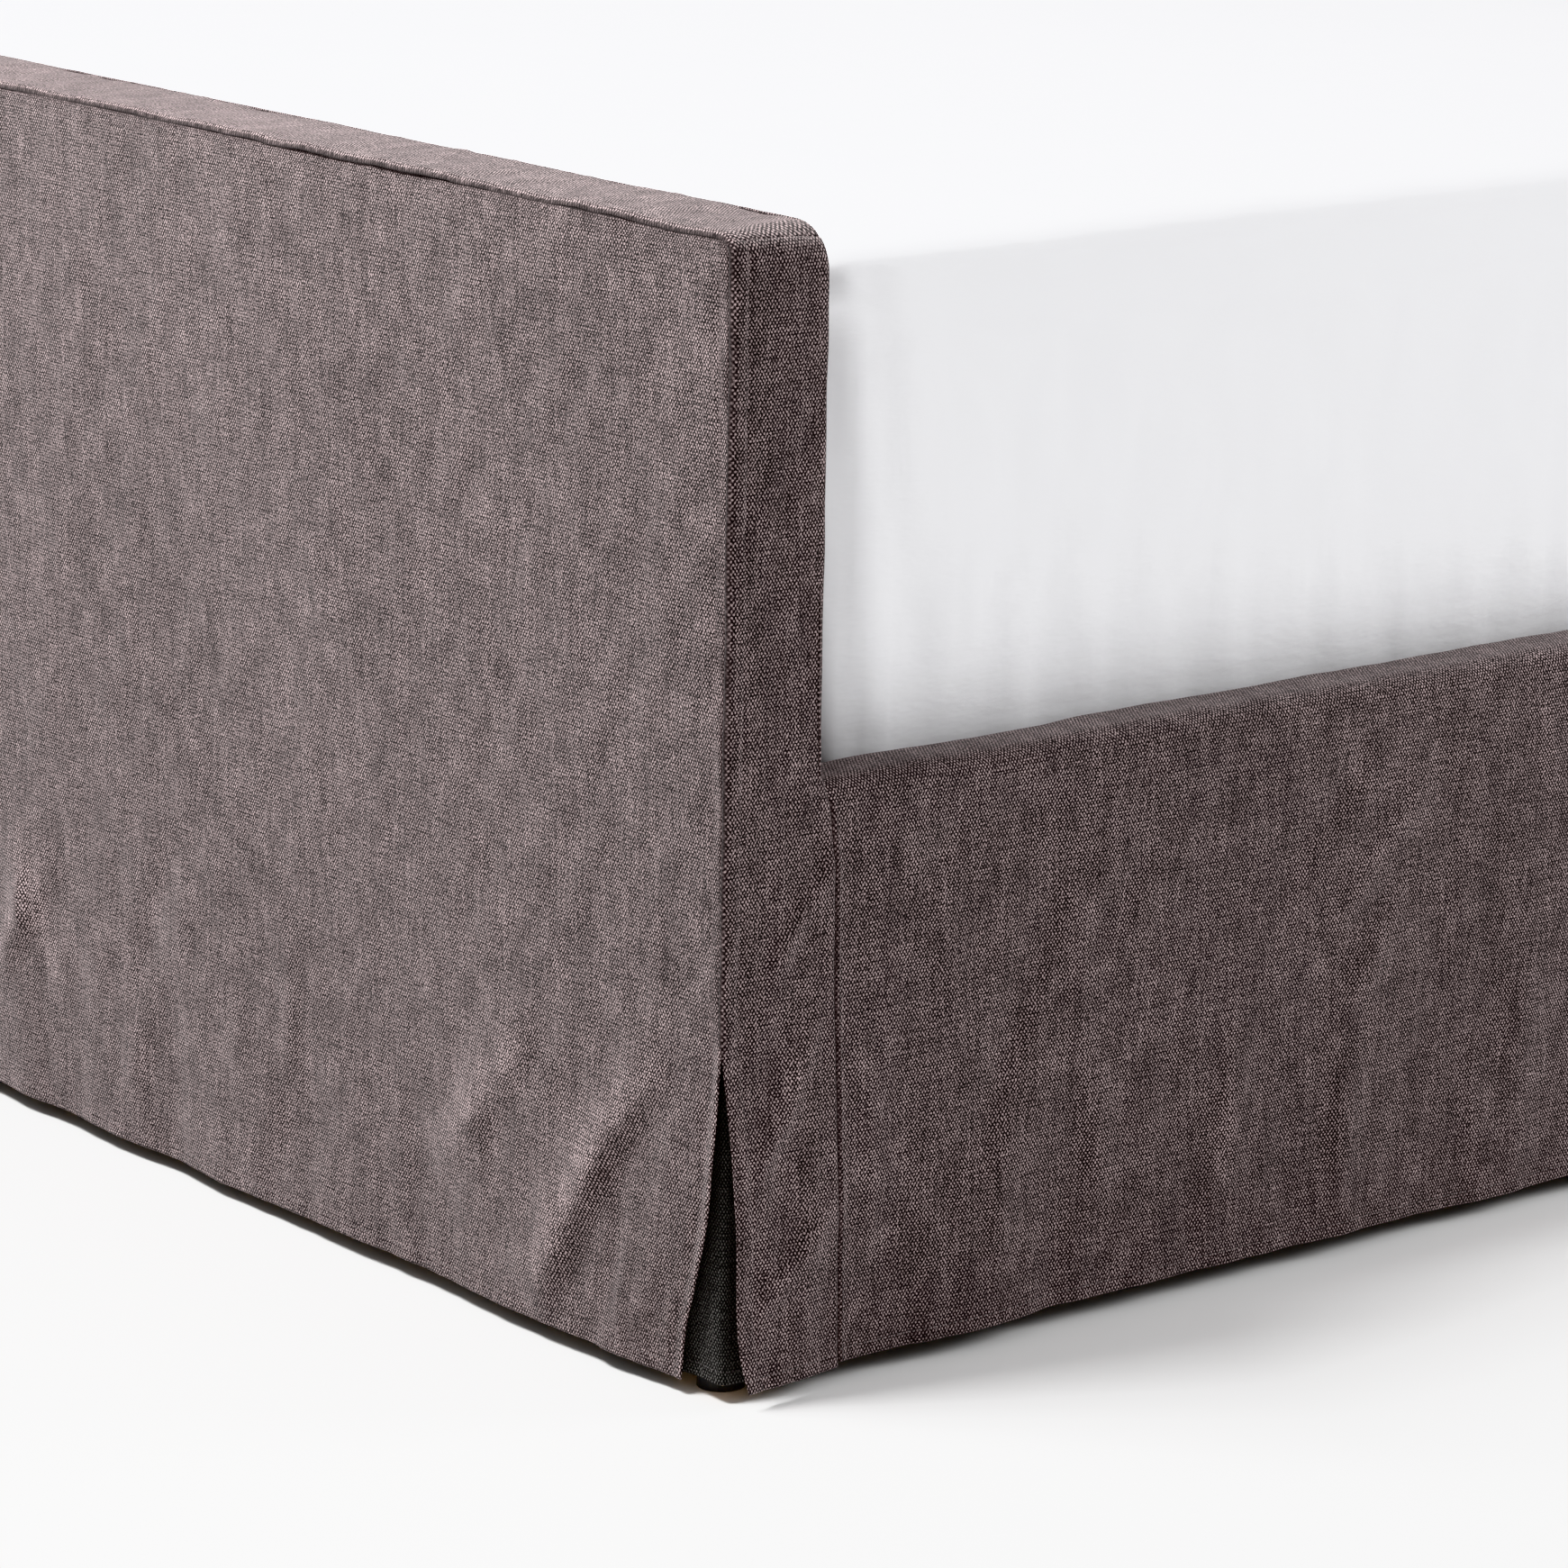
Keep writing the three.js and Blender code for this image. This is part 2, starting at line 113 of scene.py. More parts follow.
def fold(a, b, points, width, height, lean=0.0):
    """A ridge along the line through points (mm). It is steeper on its right for lean > 0."""
    line = np.array(points, float) * MM
    width, height = width * MM, height * MM
    reach = np.concatenate([[0], np.cumsum(np.linalg.norm(np.diff(line, axis=0), axis=1))])
    nearest = np.full(np.broadcast(a, b).shape, 1e9)
    side = np.zeros_like(nearest)
    along = np.zeros_like(nearest)
    for start, end, base in zip(line[:-1], line[1:], reach):
        run = end - start
        size = np.linalg.norm(run)
        t = np.clip(((a - start[0]) * run[0] + (b - start[1]) * run[1]) / size**2, 0, 1)
        off_a, off_b = a - start[0] - t * run[0], b - start[1] - t * run[1]
        far = np.hypot(off_a, off_b)
        closer = far < nearest
        nearest = np.where(closer, far, nearest)
        side = np.where(closer, np.sign(off_a * run[1] - off_b * run[0]), side)
        along = np.where(closer, base + t * size, along)
    fade = np.sin(math.pi * np.clip(along / reach[-1], 0, 1)) ** 0.7
    return height * fade * np.exp(-((nearest / (width * (1 - lean * side))) ** 2))


def lines(low, high, spacing, fine=()):
    """Grid lines from low to high, closer together near each (place, spacing) in fine."""
    at = [low]
    while at[-1] < high:
        here = at[-1]
        at.append(here + min([spacing] + [s + 0.22 * abs(here - place) for place, s in fine]))
    at = np.array(at)
    return low + (at - low) * (high - low) / (at[-1] - low)


# ---------------------------------------------------------------- meshes
def mesh_of(name, points, faces, uv=None):
    """A mesh of quads from arrays, smooth shaded. Its UV map "cloth" holds the cloth's own
    metres. The second map holds a painted highlight along fold crests and turned edges, and
    how close a seam is, which flattens the weave and paints shade there, each 0 to 1."""
    mesh = bpy.data.meshes.new(name)
    mesh.vertices.add(len(points))
    mesh.vertices.foreach_set("co", np.asarray(points, np.float32).ravel())
    mesh.loops.add(faces.size)
    mesh.loops.foreach_set("vertex_index", faces.ravel().astype(np.int32))
    mesh.polygons.add(len(faces))
    mesh.polygons.foreach_set("loop_start", np.arange(0, faces.size, 4, dtype=np.int32))
    mesh.polygons.foreach_set("use_smooth", np.ones(len(faces), bool))
    if uv is not None:
        for layer_name, pair in (("cloth", uv[:, :2]), ("wear_and_painted_light", uv[:, 2:])):
            layer = mesh.uv_layers.new(name=layer_name)
            layer.data.foreach_set("uv", pair[faces.ravel()].astype(np.float32).ravel())
    mesh.update(calc_edges=True)
    mesh.validate()
    obj = bpy.data.objects.new(name, mesh)
    bpy.context.scene.collection.objects.link(obj)
    return obj


def normals_of(skin):
    """Unit normals of a grid of points."""
    down, across = np.gradient(skin, axis=0), np.gradient(skin, axis=1)
    normal = np.cross(across, down)
    return normal / np.maximum(np.linalg.norm(normal, axis=2, keepdims=True), 1e-12)


def shell_arrays(skin, uv, thickness, outward, keep=None):
    """Points, faces and UVs of a closed sheet whose shown side is the grid `skin`."""
    rows, columns = skin.shape[:2]
    normal = normals_of(skin)
    flip = (normal * outward).sum() < 0
    if flip:
        normal = -normal
    index = np.arange(rows * columns).reshape(rows, columns)
    quads = np.stack([index[:-1, :-1], index[:-1, 1:], index[1:, 1:], index[1:, :-1]], axis=2)
    quads = quads.reshape(-1, 4) if keep is None else quads[keep]
    if flip:
        quads = quads[:, ::-1]
    count = rows * columns
    front = skin.reshape(-1, 3)
    back = (skin - normal * np.asarray(thickness)[..., None]).reshape(-1, 3)

    # The rim runs round every edge that only one quad has.
    edges = np.stack([quads, np.roll(quads, -1, axis=1)], axis=2).reshape(-1, 2)
    codes = edges[:, 0].astype(np.int64) * count + edges[:, 1]
    rim = edges[~np.isin(edges[:, 1].astype(np.int64) * count + edges[:, 0], codes)]
    run = front[rim[:, 1]] - front[rim[:, 0]]
    out = np.cross(run, normal.reshape(-1, 3)[rim[:, 0]])
    out /= np.maximum(np.linalg.norm(out, axis=1, keepdims=True), 1e-12)
    push = np.zeros_like(front)
    np.add.at(push, rim[:, 0], out)
    np.add.at(push, rim[:, 1], out)
    used = np.unique(rim)
    slim = np.linalg.norm(front[used] - back[used], axis=1, keepdims=True)
    push = push[used] / np.maximum(np.linalg.norm(push[used], axis=1, keepdims=True), 1e-12)
    middle = (front[used] + back[used]) / 2 + push * slim * 0.45
    slot_of = np.full(count, -1)
    slot_of[used] = 2 * count + np.arange(len(used))
    a, b = rim[:, 0], rim[:, 1]
    faces = np.concatenate([
        quads,
        quads[:, ::-1] + count,
        np.stack([b, a, slot_of[a], slot_of[b]], axis=1),
        np.stack([slot_of[b], slot_of[a], a + count, b + count], axis=1),
    ])
    points = np.concatenate([front, back, middle])
    flat_uv = np.zeros((count, 4))
    flat_uv[:, : uv.shape[2]] = uv.reshape(count, -1)
    # The pattern runs on over the rim, away from the sheet.
    corner = flat_uv[quads[:, :3], :2]
    one, two = corner[:, 1] - corner[:, 0], corner[:, 2] - corner[:, 1]
    turn = np.sign((one[:, 0] * two[:, 1] - one[:, 1] * two[:, 0]).sum())
    run_uv = flat_uv[rim[:, 1], :2] - flat_uv[rim[:, 0], :2]
    out_uv = np.stack([run_uv[:, 1], -run_uv[:, 0]], axis=1) * turn
    push_uv = np.zeros((count, 2))
    np.add.at(push_uv, rim[:, 0], out_uv)
    np.add.at(push_uv, rim[:, 1], out_uv)
    push_uv = push_uv[used] / np.maximum(np.linalg.norm(push_uv[used], axis=1, keepdims=True), 1e-12)
    rim_uv = flat_uv[used].copy()
    rim_uv[:, :2] += push_uv * slim * 0.9
    all_uv = np.concatenate([flat_uv, flat_uv, rim_uv])
    kept = np.unique(faces)
    renumber = np.zeros(len(points), int)
    renumber[kept] = np.arange(len(kept))
    return points[kept], renumber[faces], all_uv[kept], normal


def shell(name, grids):
    """One closed mesh from several grids, each (skin, uv, thickness, outward, keep)."""
    points, faces, uvs, count = [], [], [], 0
    for grid in grids:
        p, f, u, _ = shell_arrays(*grid)
        points.append(p)
        faces.append(f + count)
        uvs.append(u)
        count += len(p)
    return mesh_of(name, np.concatenate(points), np.concatenate(faces), np.concatenate(uvs))


def stitches(name, runs, length=2.6 * MM, gap=1.5 * MM, radius=0.38 * MM):
    """Dashes of thread along runs of (points, normals), each lying on its cloth."""
    sides, rings = 6, [(-0.5, 0.25, -0.6), (-0.3, 0.9, 0.15), (0.0, 1.0, 0.35), (0.3, 0.9, 0.15), (0.5, 0.25, -0.6)]
    points, faces, count = [], [], 0
    for path, normal in runs:
        reach = np.concatenate([[0], np.cumsum(np.linalg.norm(np.diff(path, axis=0), axis=1))])
        at = np.arange(length, reach[-1] - length, length + gap)
        spot = np.stack([np.interp(at, reach, path[:, k]) for k in range(3)], axis=1)
        ahead = np.stack([np.interp(at + length / 2, reach, path[:, k]) for k in range(3)], axis=1)
        up = np.stack([np.interp(at, reach, normal[:, k]) for k in range(3)], axis=1)
        along = ahead - spot
        along /= np.linalg.norm(along, axis=1, keepdims=True)
        up /= np.linalg.norm(up, axis=1, keepdims=True)
        over = np.cross(along, up)
        dash = np.zeros((len(at), len(rings), sides, 3))
        for r, (place, scale, lift) in enumerate(rings):
            for s in range(sides):
                turn = TAU * s / sides
                dash[:, r, s] = (
                    spot
                    + along * place * length
                    + up * radius * (lift + scale * math.sin(turn))
                    + over * radius * scale * 1.3 * math.cos(turn)
                )
        base = np.arange(len(at))[:, None] * len(rings) * sides + count
        quads = []
        for r in range(len(rings) - 1):
            for s in range(sides):
                n = (s + 1) % sides
                quads.append([r * sides + s, r * sides + n, (r + 1) * sides + n, (r + 1) * sides + s])
        last = (len(rings) - 1) * sides
        quads += [[3, 2, 1, 0], [5, 4, 3, 0], [last, last + 1, last + 2, last + 3]]
        quads += [[last, last + 3, last + 4, last + 5]]
        faces.append((base[:, None] + np.array(quads)[None]).reshape(-1, 4))
        points.append(dash.reshape(-1, 3))
        count += len(at) * len(rings) * sides
    return mesh_of(name, np.concatenate(points), np.concatenate(faces))


# ---------------------------------------------------------------- materials
def node(tree, kind, settings=None, **inputs):
    """A shader node. An input is a number, a colour, or another node's output socket."""
    made = tree.nodes.new(kind)
    for key, value in (settings or {}).items():
        setattr(made, key, value)
    for key, value in inputs.items():
        socket = made.inputs[int(key[1:]) if key[0] == "i" and key[1:].isdigit() else key.replace("_", " ")]
        if isinstance(value, bpy.types.NodeSocket):
            tree.links.new(value, socket)
        else:
            socket.default_value = value
    return made


def maths(tree, operation, a, b=0.0, clamp=False):
    made = node(tree, "ShaderNodeMath", {"operation": operation, "use_clamp": clamp}, i0=a, i1=b)
    return made.outputs[0]


def stretched(tree, vector, scale):
    return node(tree, "ShaderNodeVectorMath", {"operation": "MULTIPLY"}, i0=vector, i1=scale).outputs[0]


def noise(tree, vector, scale, detail=2.0, rough=0.5):
    made = node(tree, "ShaderNodeTexNoise", Vector=vector, Scale=scale, Detail=detail, Roughness=rough)
    return made.outputs["Fac"]


def centred(tree, value, gain):
    """A noise's 0 to 1 as -gain/2 to gain/2."""
    return maths(tree, "MULTIPLY", maths(tree, "SUBTRACT", value, 0.5), gain)


def blended(tree, factor, low, high, mode="MIX"):
    made = node(tree, "ShaderNodeMix", {"data_type": "RGBA", "blend_type": mode, "clamp_factor": True})
    for key, value in (("Factor", factor), ("A", low), ("B", high)):
        socket = next(s for s in made.inputs if s.name == key and (s.type == "RGBA") == (key != "Factor"))
        if isinstance(value, bpy.types.NodeSocket):
            tree.links.new(value, socket)
        else:
            socket.default_value = value
    return next(s for s in made.outputs if s.type == "RGBA")


def material(name, roughness=0.8, **constants):
    """A material with a Principled shader, and its tree and shader to add to."""
    made = bpy.data.materials.new(name)
    made.use_nodes = True
    tree = made.node_tree
    shader = tree.nodes["Principled BSDF"]
    shader.inputs["Roughness"].default_value = roughness
    for key, value in constants.items():
        shader.inputs[key.replace("_", " ")].default_value = value
    return made, tree, shader


def grey(level):
    return (level, level, level, 1.0)


def finish_bump(tree, shader, height, distance, strength):
    made = node(tree, "ShaderNodeBump", Height=height, Distance=distance, Strength=strength)
    tree.links.new(made.outputs["Normal"], shader.inputs["Normal"])


WARP = 2.56 * MM  # two warp yarns
WEFT = 3.92 * MM  # two weft yarns


def woven(name, gap_shade_colour, yarn_colour, mottle, depth, sheen, sheen_tint):
    """A heavy plain weave of slubby yarn, brushed so that it is blotchy in patches."""
    made, tree, shader = material(
        name, 0.92, Sheen_Weight=sheen, Sheen_Roughness=0.45, Sheen_Tint=sheen_tint, Specular_IOR_Level=0.18
    )
    uv = node(tree, "ShaderNodeUVMap", {"uv_map": "cloth"}).outputs[0]
    split = node(tree, "ShaderNodeSeparateXYZ", i0=uv)
    drift_x = centred(tree, noise(tree, stretched(tree, uv, (160, 40, 1)), 1.0, 2.0), 0.8 * MM)
    drift_y = centred(tree, noise(tree, stretched(tree, uv, (40, 130, 1)), 1.0, 2.0), 1.0 * MM)
    across = maths(tree, "ADD", split.outputs[0], drift_x)
    up = maths(tree, "ADD", split.outputs[1], drift_y)
    cos_x = maths(tree, "COSINE", maths(tree, "MULTIPLY", across, TAU / WARP))
    cos_y = maths(tree, "COSINE", maths(tree, "MULTIPLY", up, TAU / WEFT))
    cos_2y = maths(tree, "COSINE", maths(tree, "MULTIPLY", up, 2 * TAU / WEFT))
    weave = maths(tree, "MULTIPLY", maths(tree, "MULTIPLY", cos_x, cos_y), 0.66)
    weave = maths(tree, "ADD", weave, maths(tree, "MULTIPLY", cos_2y, 0.13))
    # Each float's own height and brightness, and thick and thin places along the yarns.
    floats = centred(tree, noise(tree, stretched(tree, uv, (2.1 / WARP, 2.4 / WEFT, 1)), 1.0, 1.0, 0.5), 2.6)
    slubs = centred(tree, noise(tree, stretched(tree, uv, (330, 30, 1)), 1.0, 2.0, 0.6), 0.7)
    picks = centred(tree, noise(tree, stretched(tree, uv, (35, 290, 1)), 1.0, 2.0, 0.6), 0.45)
    height = maths(tree, "ADD", maths(tree, "ADD", weave, floats), maths(tree, "ADD", slubs, picks))
    painted_light_map = node(tree, "ShaderNodeUVMap", {"uv_map": "wear_and_painted_light"}).outputs[0]
    wear_and_painted_light = node(tree, "ShaderNodeSeparateXYZ", i0=painted_light_map)
    loose = maths(tree, "SUBTRACT", 1.0, maths(tree, "MULTIPLY", wear_and_painted_light.outputs[1], 0.7))
    height = maths(tree, "MULTIPLY", height, loose)
    shown = maths(tree, "ADD", maths(tree, "MULTIPLY", height, 0.95), 0.43, clamp=True)
    # The colour follows the weave's height. Over the yarns' own pattern, the gaps are painted near black as painted
    # shade, and the floats' tops are painted pale as painted highlight.
    colour = blended(tree, maths(tree, "POWER", shown, 2.2), gap_shade_colour, yarn_colour)
    # Mottling: blotches of brushed pile, and long soft streaks up the cloth.
    blotch = centred(tree, noise(tree, stretched(tree, uv, (44, 34, 1)), 1.0, 4.0, 0.62), 2.0)
    streak = centred(tree, noise(tree, stretched(tree, uv, (100, 11, 1)), 1.0, 3.0, 0.6), 0.9)
    broad = centred(tree, noise(tree, stretched(tree, uv, (6, 4, 1)), 1.0, 2.0), 0.6)
    tone = maths(tree, "ADD", maths(tree, "ADD", blotch, streak), broad)
    tone = maths(tree, "ADD", maths(tree, "MULTIPLY", tone, mottle), 1.0)
    # Painted highlight: the crests of folds and the turned edges are painted paler, by an amount that follows the
    # blotches.
    worn_and_highlight = maths(tree, "ADD", maths(tree, "MULTIPLY", blotch, 0.7), 0.8)
    tone = maths(tree, "ADD", tone, maths(tree, "MULTIPLY", worn_and_highlight, wear_and_painted_light.outputs[0]))
    # Painted shade: a thin dark line down each seam, where the weave is also pulled smooth.
    seam = maths(tree, "MULTIPLY", maths(tree, "POWER", wear_and_painted_light.outputs[1], 12.0), 0.8)
    tone = maths(tree, "MULTIPLY", tone, maths(tree, "SUBTRACT", 1.0, seam))
    level = node(tree, "ShaderNodeCombineXYZ", i0=tone, i1=tone, i2=tone).outputs[0]
    colour = blended(tree, 1.0, colour, level, "MULTIPLY")
    tree.links.new(colour, shader.inputs["Base Color"])
    rough = maths(tree, "SUBTRACT", 0.98, maths(tree, "MULTIPLY", shown, 0.12))
    tree.links.new(rough, shader.inputs["Roughness"])
    strength = maths(tree, "MULTIPLY", maths(tree, "SUBTRACT", 1.0, wear_and_painted_light.outputs[1]), 0.5)
    finish_bump(tree, shader, shown, depth, strength)
    return made


def linen_sheet():
    made, tree, shader = material("sheet_linen", 0.85, Sheen_Weight=0.06, Specular_IOR_Level=0.25)
    place = node(tree, "ShaderNodeTexCoord").outputs["Object"]
    split = node(tree, "ShaderNodeSeparateXYZ", i0=place)
    wave = [
        maths(tree, "SINE", maths(tree, "MULTIPLY", split.outputs[k], TAU / (0.9 * MM))) for k in range(3)
    ]
    weave = maths(tree, "MULTIPLY", maths(tree, "MULTIPLY", wave[0], wave[1]), wave[2])
    crease = noise(tree, stretched(tree, place, (9, 6, 9)), 1.0, 4.0, 0.55)
    wrinkle = noise(tree, stretched(tree, place, (22, 12, 34)), 1.0, 4.0, 0.6)
    # The sheet's colour follows its creases: it is painted darker in their low places as painted shade, with a faint
    # weave pattern over it.
    tone = maths(tree, "ADD", maths(tree, "MULTIPLY", crease, 0.5), maths(tree, "MULTIPLY", weave, 0.04))
    colour = blended(tree, tone, (0.77, 0.77, 0.79, 1), (0.85, 0.85, 0.865, 1))
    tree.links.new(colour, shader.inputs["Base Color"])
    rough = maths(tree, "ADD", 0.8, maths(tree, "MULTIPLY", crease, 0.15))
    tree.links.new(rough, shader.inputs["Roughness"])
    finish_bump(tree, shader, maths(tree, "ADD", tone, maths(tree, "ADD", crease, wrinkle)), 2.2 * MM, 0.5)
    return made


def ticking():
    """Mattress ticking: a quilted stripe."""
    made, tree, shader = material("ticking", 0.85, Sheen_Weight=0.1, Specular_IOR_Level=0.25)
    place = node(tree, "ShaderNodeTexCoord").outputs["Object"]
    split = node(tree, "ShaderNodeSeparateXYZ", i0=place)
    stripe = maths(tree, "SINE", maths(tree, "MULTIPLY", split.outputs[0], TAU / 0.03))
    line = maths(tree, "GREATER_THAN", stripe, 0.86)
    weave = noise(tree, stretched(tree, place, (900, 900, 900)), 1.0, 1.0)
    base = blended(tree, weave, (0.62, 0.60, 0.55, 1), (0.80, 0.78, 0.73, 1))
    colour = blended(tree, maths(tree, "MULTIPLY", line, 0.55), base, (0.34, 0.38, 0.45, 1))
    tree.links.new(colour, shader.inputs["Base Color"])
    rough = maths(tree, "ADD", 0.78, maths(tree, "MULTIPLY", weave, 0.15))
    tree.links.new(rough, shader.inputs["Roughness"])
    finish_bump(tree, shader, weave, 0.5 * MM, 0.5)
    return made


def wadding():
    made, tree, shader = material("padding", 0.95, Sheen_Weight=0.3, Specular_IOR_Level=0.1)
    place = node(tree, "ShaderNodeTexCoord").outputs["Object"]
    fibres = noise(tree, place, 260.0, 6.0, 0.75)
    clumps = noise(tree, place, 24.0, 3.0)
    colour = blended(tree, maths(tree, "MULTIPLY", fibres, clumps), (0.55, 0.52, 0.44, 1), (0.88, 0.86, 0.80, 1))
    tree.links.new(colour, shader.inputs["Base Color"])
    rough = maths(tree, "ADD", 0.85, maths(tree, "MULTIPLY", fibres, 0.12))
    tree.links.new(rough, shader.inputs["Roughness"])
    finish_bump(tree, shader, fibres, 2 * MM, 0.7)
    return made


def timber(name, axis, pale, dark, ring_gap, roughness):
    """Sawn wood with its grain along one axis (0, 1 or 2)."""
    made, tree, shader = material(name, roughness, Specular_IOR_Level=0.35)
    place = node(tree, "ShaderNodeTexCoord").outputs["Object"]
    along = tuple(0.06 if k == axis else 1.0 for k in range(3))
    grain = stretched(tree, place, along)
    warp = noise(tree, grain, 9.0, 3.0)
    split = node(tree, "ShaderNodeSeparateXYZ", i0=grain)
    others = [split.outputs[k] for k in range(3) if k != axis]
    far = maths(tree, "ADD", others[0], maths(tree, "MULTIPLY", others[1], 0.6))
    far = maths(tree, "ADD", far, maths(tree, "MULTIPLY", warp, 0.05))
    rings = maths(tree, "SINE", maths(tree, "MULTIPLY", far, TAU / ring_gap))
    pores = noise(tree, grain, 900.0, 2.0, 0.7)
    tone = maths(tree, "ADD", maths(tree, "MULTIPLY", rings, 0.28), maths(tree, "MULTIPLY", pores, 0.75), clamp=True)
    colour = blended(tree, tone, pale, dark)
    tree.links.new(colour, shader.inputs["Base Color"])
    rough = maths(tree, "ADD", roughness - 0.08, maths(tree, "MULTIPLY", pores, 0.2))
    tree.links.new(rough, shader.inputs["Roughness"])
    finish_bump(tree, shader, tone, 0.3 * MM, 0.4)
    return made


def chipboard():
    made, tree, shader = material("core_board", 0.85, Specular_IOR_Level=0.25)
    place = node(tree, "ShaderNodeTexCoord").outputs["Object"]
    chips = node(tree, "ShaderNodeTexVoronoi", Vector=stretched(tree, place, (1.0, 1.0, 1.7)), Scale=160.0)
    fine = noise(tree, place, 420.0, 3.0)
    tone = node(tree, "ShaderNodeSeparateColor", i0=chips.outputs["Color"]).outputs[0]
    tone = maths(tree, "MULTIPLY", maths(tree, "ADD", tone, fine), 0.5)
    colour = blended(tree, tone, (0.26, 0.16, 0.08, 1), (0.60, 0.44, 0.26, 1))
    tree.links.new(colour, shader.inputs["Base Color"])
    rough = maths(tree, "ADD", 0.75, maths(tree, "MULTIPLY", fine, 0.2))
    tree.links.new(rough, shader.inputs["Roughness"])
    finish_bump(tree, shader, tone, 0.4 * MM, 0.5)
    return made


def coated(name, metallic, colour, worn_and_highlight, scale, roughness):
    """Powder-coated steel or moulded nylon: fine orange peel, and wear in patches."""
    made, tree, shader = material(name, roughness, Metallic=metallic, Specular_IOR_Level=0.5)
    place = node(tree, "ShaderNodeTexCoord").outputs["Object"]
    peel = noise(tree, place, scale, 3.0)
    wear_and_painted_light = maths(tree, "MULTIPLY", maths(tree, "SUBTRACT", noise(tree, place, 60.0, 6.0, 0.7), 0.58), 4.0, clamp=True)
    tree.links.new(blended(tree, wear_and_painted_light, colour, worn_and_highlight), shader.inputs["Base Color"])
    rough = maths(tree, "ADD", roughness - 0.1, maths(tree, "MULTIPLY", peel, 0.25))
    tree.links.new(rough, shader.inputs["Roughness"])
    finish_bump(tree, shader, peel, 0.15 * MM, 0.5)
    return made


def thread(name, colour):
    made, tree, shader = material(name, 0.7, Sheen_Weight=0.3, Specular_IOR_Level=0.3)
    place = node(tree, "ShaderNodeTexCoord").outputs["Object"]
    twist = noise(tree, place, 1500.0, 2.0)
    shade = tuple(c * 0.55 for c in colour[:3]) + (1.0,)
    tree.links.new(blended(tree, twist, shade, colour), shader.inputs["Base Color"])
    rough = maths(tree, "ADD", 0.6, maths(tree, "MULTIPLY", twist, 0.3))
    tree.links.new(rough, shader.inputs["Roughness"])
    finish_bump(tree, shader, twist, 0.2 * MM, 0.6)
    return made


cover_cloth = woven(
    "cover_cloth", (0.005, 0.004, 0.004, 1), (0.370, 0.290, 0.290, 1), 0.64, 0.9 * MM, 0.26, (0.80, 0.73, 0.73, 1)
)
# The insert's cloth is the cover's cloth darkened to grey, as painted shade for the slit it hangs in. Its thread is
# darkened the same way.
pleat_cloth = woven(
    "pleat_cloth", (0.006, 0.006, 0.006, 1), (0.132, 0.127, 0.121, 1), 0.4, 0.6 * MM, 0.08, (0.6, 0.55, 0.55, 1)
)
sheet_linen = linen_sheet()
ticking_cloth = ticking()
padding_fill = wadding()
cover_thread = thread("cover_thread", (0.19, 0.155, 0.155, 1))
shaded_pleat_thread = thread("shaded_pleat_thread", (0.07, 0.06, 0.06, 1))

BEECH = ((0.62, 0.42, 0.24, 1), (0.40, 0.24, 0.12, 1))
BIRCH = ((0.78, 0.61, 0.40, 1), (0.58, 0.40, 0.23, 1))
hardwood = [timber(f"hardwood_{'xyz'[k]}", k, *BEECH, 0.011, 0.6) for k in range(3)]
slat_wood = timber("slat_wood", 0, *BIRCH, 0.016, 0.5)
core_board = chipboard()
bracket_steel = coated("bracket_steel", 0.75, (0.030, 0.031, 0.033, 1), (0.30, 0.30, 0.31, 1), 900.0, 0.42)
nylon = coated("nylon", 0.0, (0.016, 0.016, 0.017, 1), (0.06, 0.06, 0.062, 1), 1400.0, 0.5)
leveler_steel = coated("leveler_steel", 0.9, (0.42, 0.42, 0.43, 1), (0.25, 0.24, 0.23, 1), 1100.0, 0.35)


# ---------------------------------------------------------------- pieces
def settle(obj, look, body, slot, *nodes):
    """Gives a piece its material and body, and hides the CAD nodes that it stands for. The slot is not used."""
    obj.data.materials.append(look)
    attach(obj, body)
    if nodes:
        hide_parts(*nodes)
    return obj


class Board:
    """The footboard or headboard: how far out, how high, and its own seeds and folds."""

    def __init__(self, prefix, end, height, seed, flare):
        self.prefix, self.end, self.height, self.seed, self.flare = prefix, end, height, seed, flare

    def y(self, depth):
        """World y of a depth from the outer face, towards the mattress."""
        return self.end * (HALF_LENGTH - depth)


BOARDS = [
    Board("footboard", -1, outer_high.z, 10, {1: 1.0, -1: 0.82}),
    Board("headboard", 1, head_high.z, 40, {1: 0.9, -1: 0.74}),
]

# The open corner: how far each flap's edge has swung from the corner, by height.
FRONT_FLAP = [(12, -45.5), (30, -45), (50, -42), (77, -32), (130, -17), (192, -7.5), (242, -0.8)]
END_FLAP = [(12, 20), (30, 16.5), (53, 13), (101, 13.5), (167, 9), (215, 4), (242, 0.8)]
# The seam between an end strip and a rail's cover, as a depth from the board's outer face.
RAIL_SEAM = [(12, 100), (120, 96.5), (250, 91), (374, 87), (388, 85.3), (402, 80.4), (417, 77)]


def in_metres(points):
    return [(a * MM, b * MM) for a, b in points]


def front_flap(z, size):
    return np.where(z < PLEAT_TOP, through(in_metres(FRONT_FLAP), z), 0) * size


def end_flap(z, size):
    return np.where(z < PLEAT_TOP, through(in_metres(END_FLAP), z), 0) * size


def rail_seam(z):
    return np.where(z < 0.417, through(in_metres(RAIL_SEAM), z), THICK)


SEAM_WIDE = 3.2 * MM  # how far from a seam the weave is flattened; close in, a dark line is painted as painted shade
ROUNDING = 3.4 * MM  # a boxing strip turns this far round onto the outer face, to its seam


def rounded(distance):
    """How far a strip has sunk where it turns round a board's edge, in from a quarter circle."""
    left = 1 - np.clip(distance / ROUNDING, 0, 1)
    return ROUNDING * (1 - np.sqrt(1 - left**2 * 0.995))


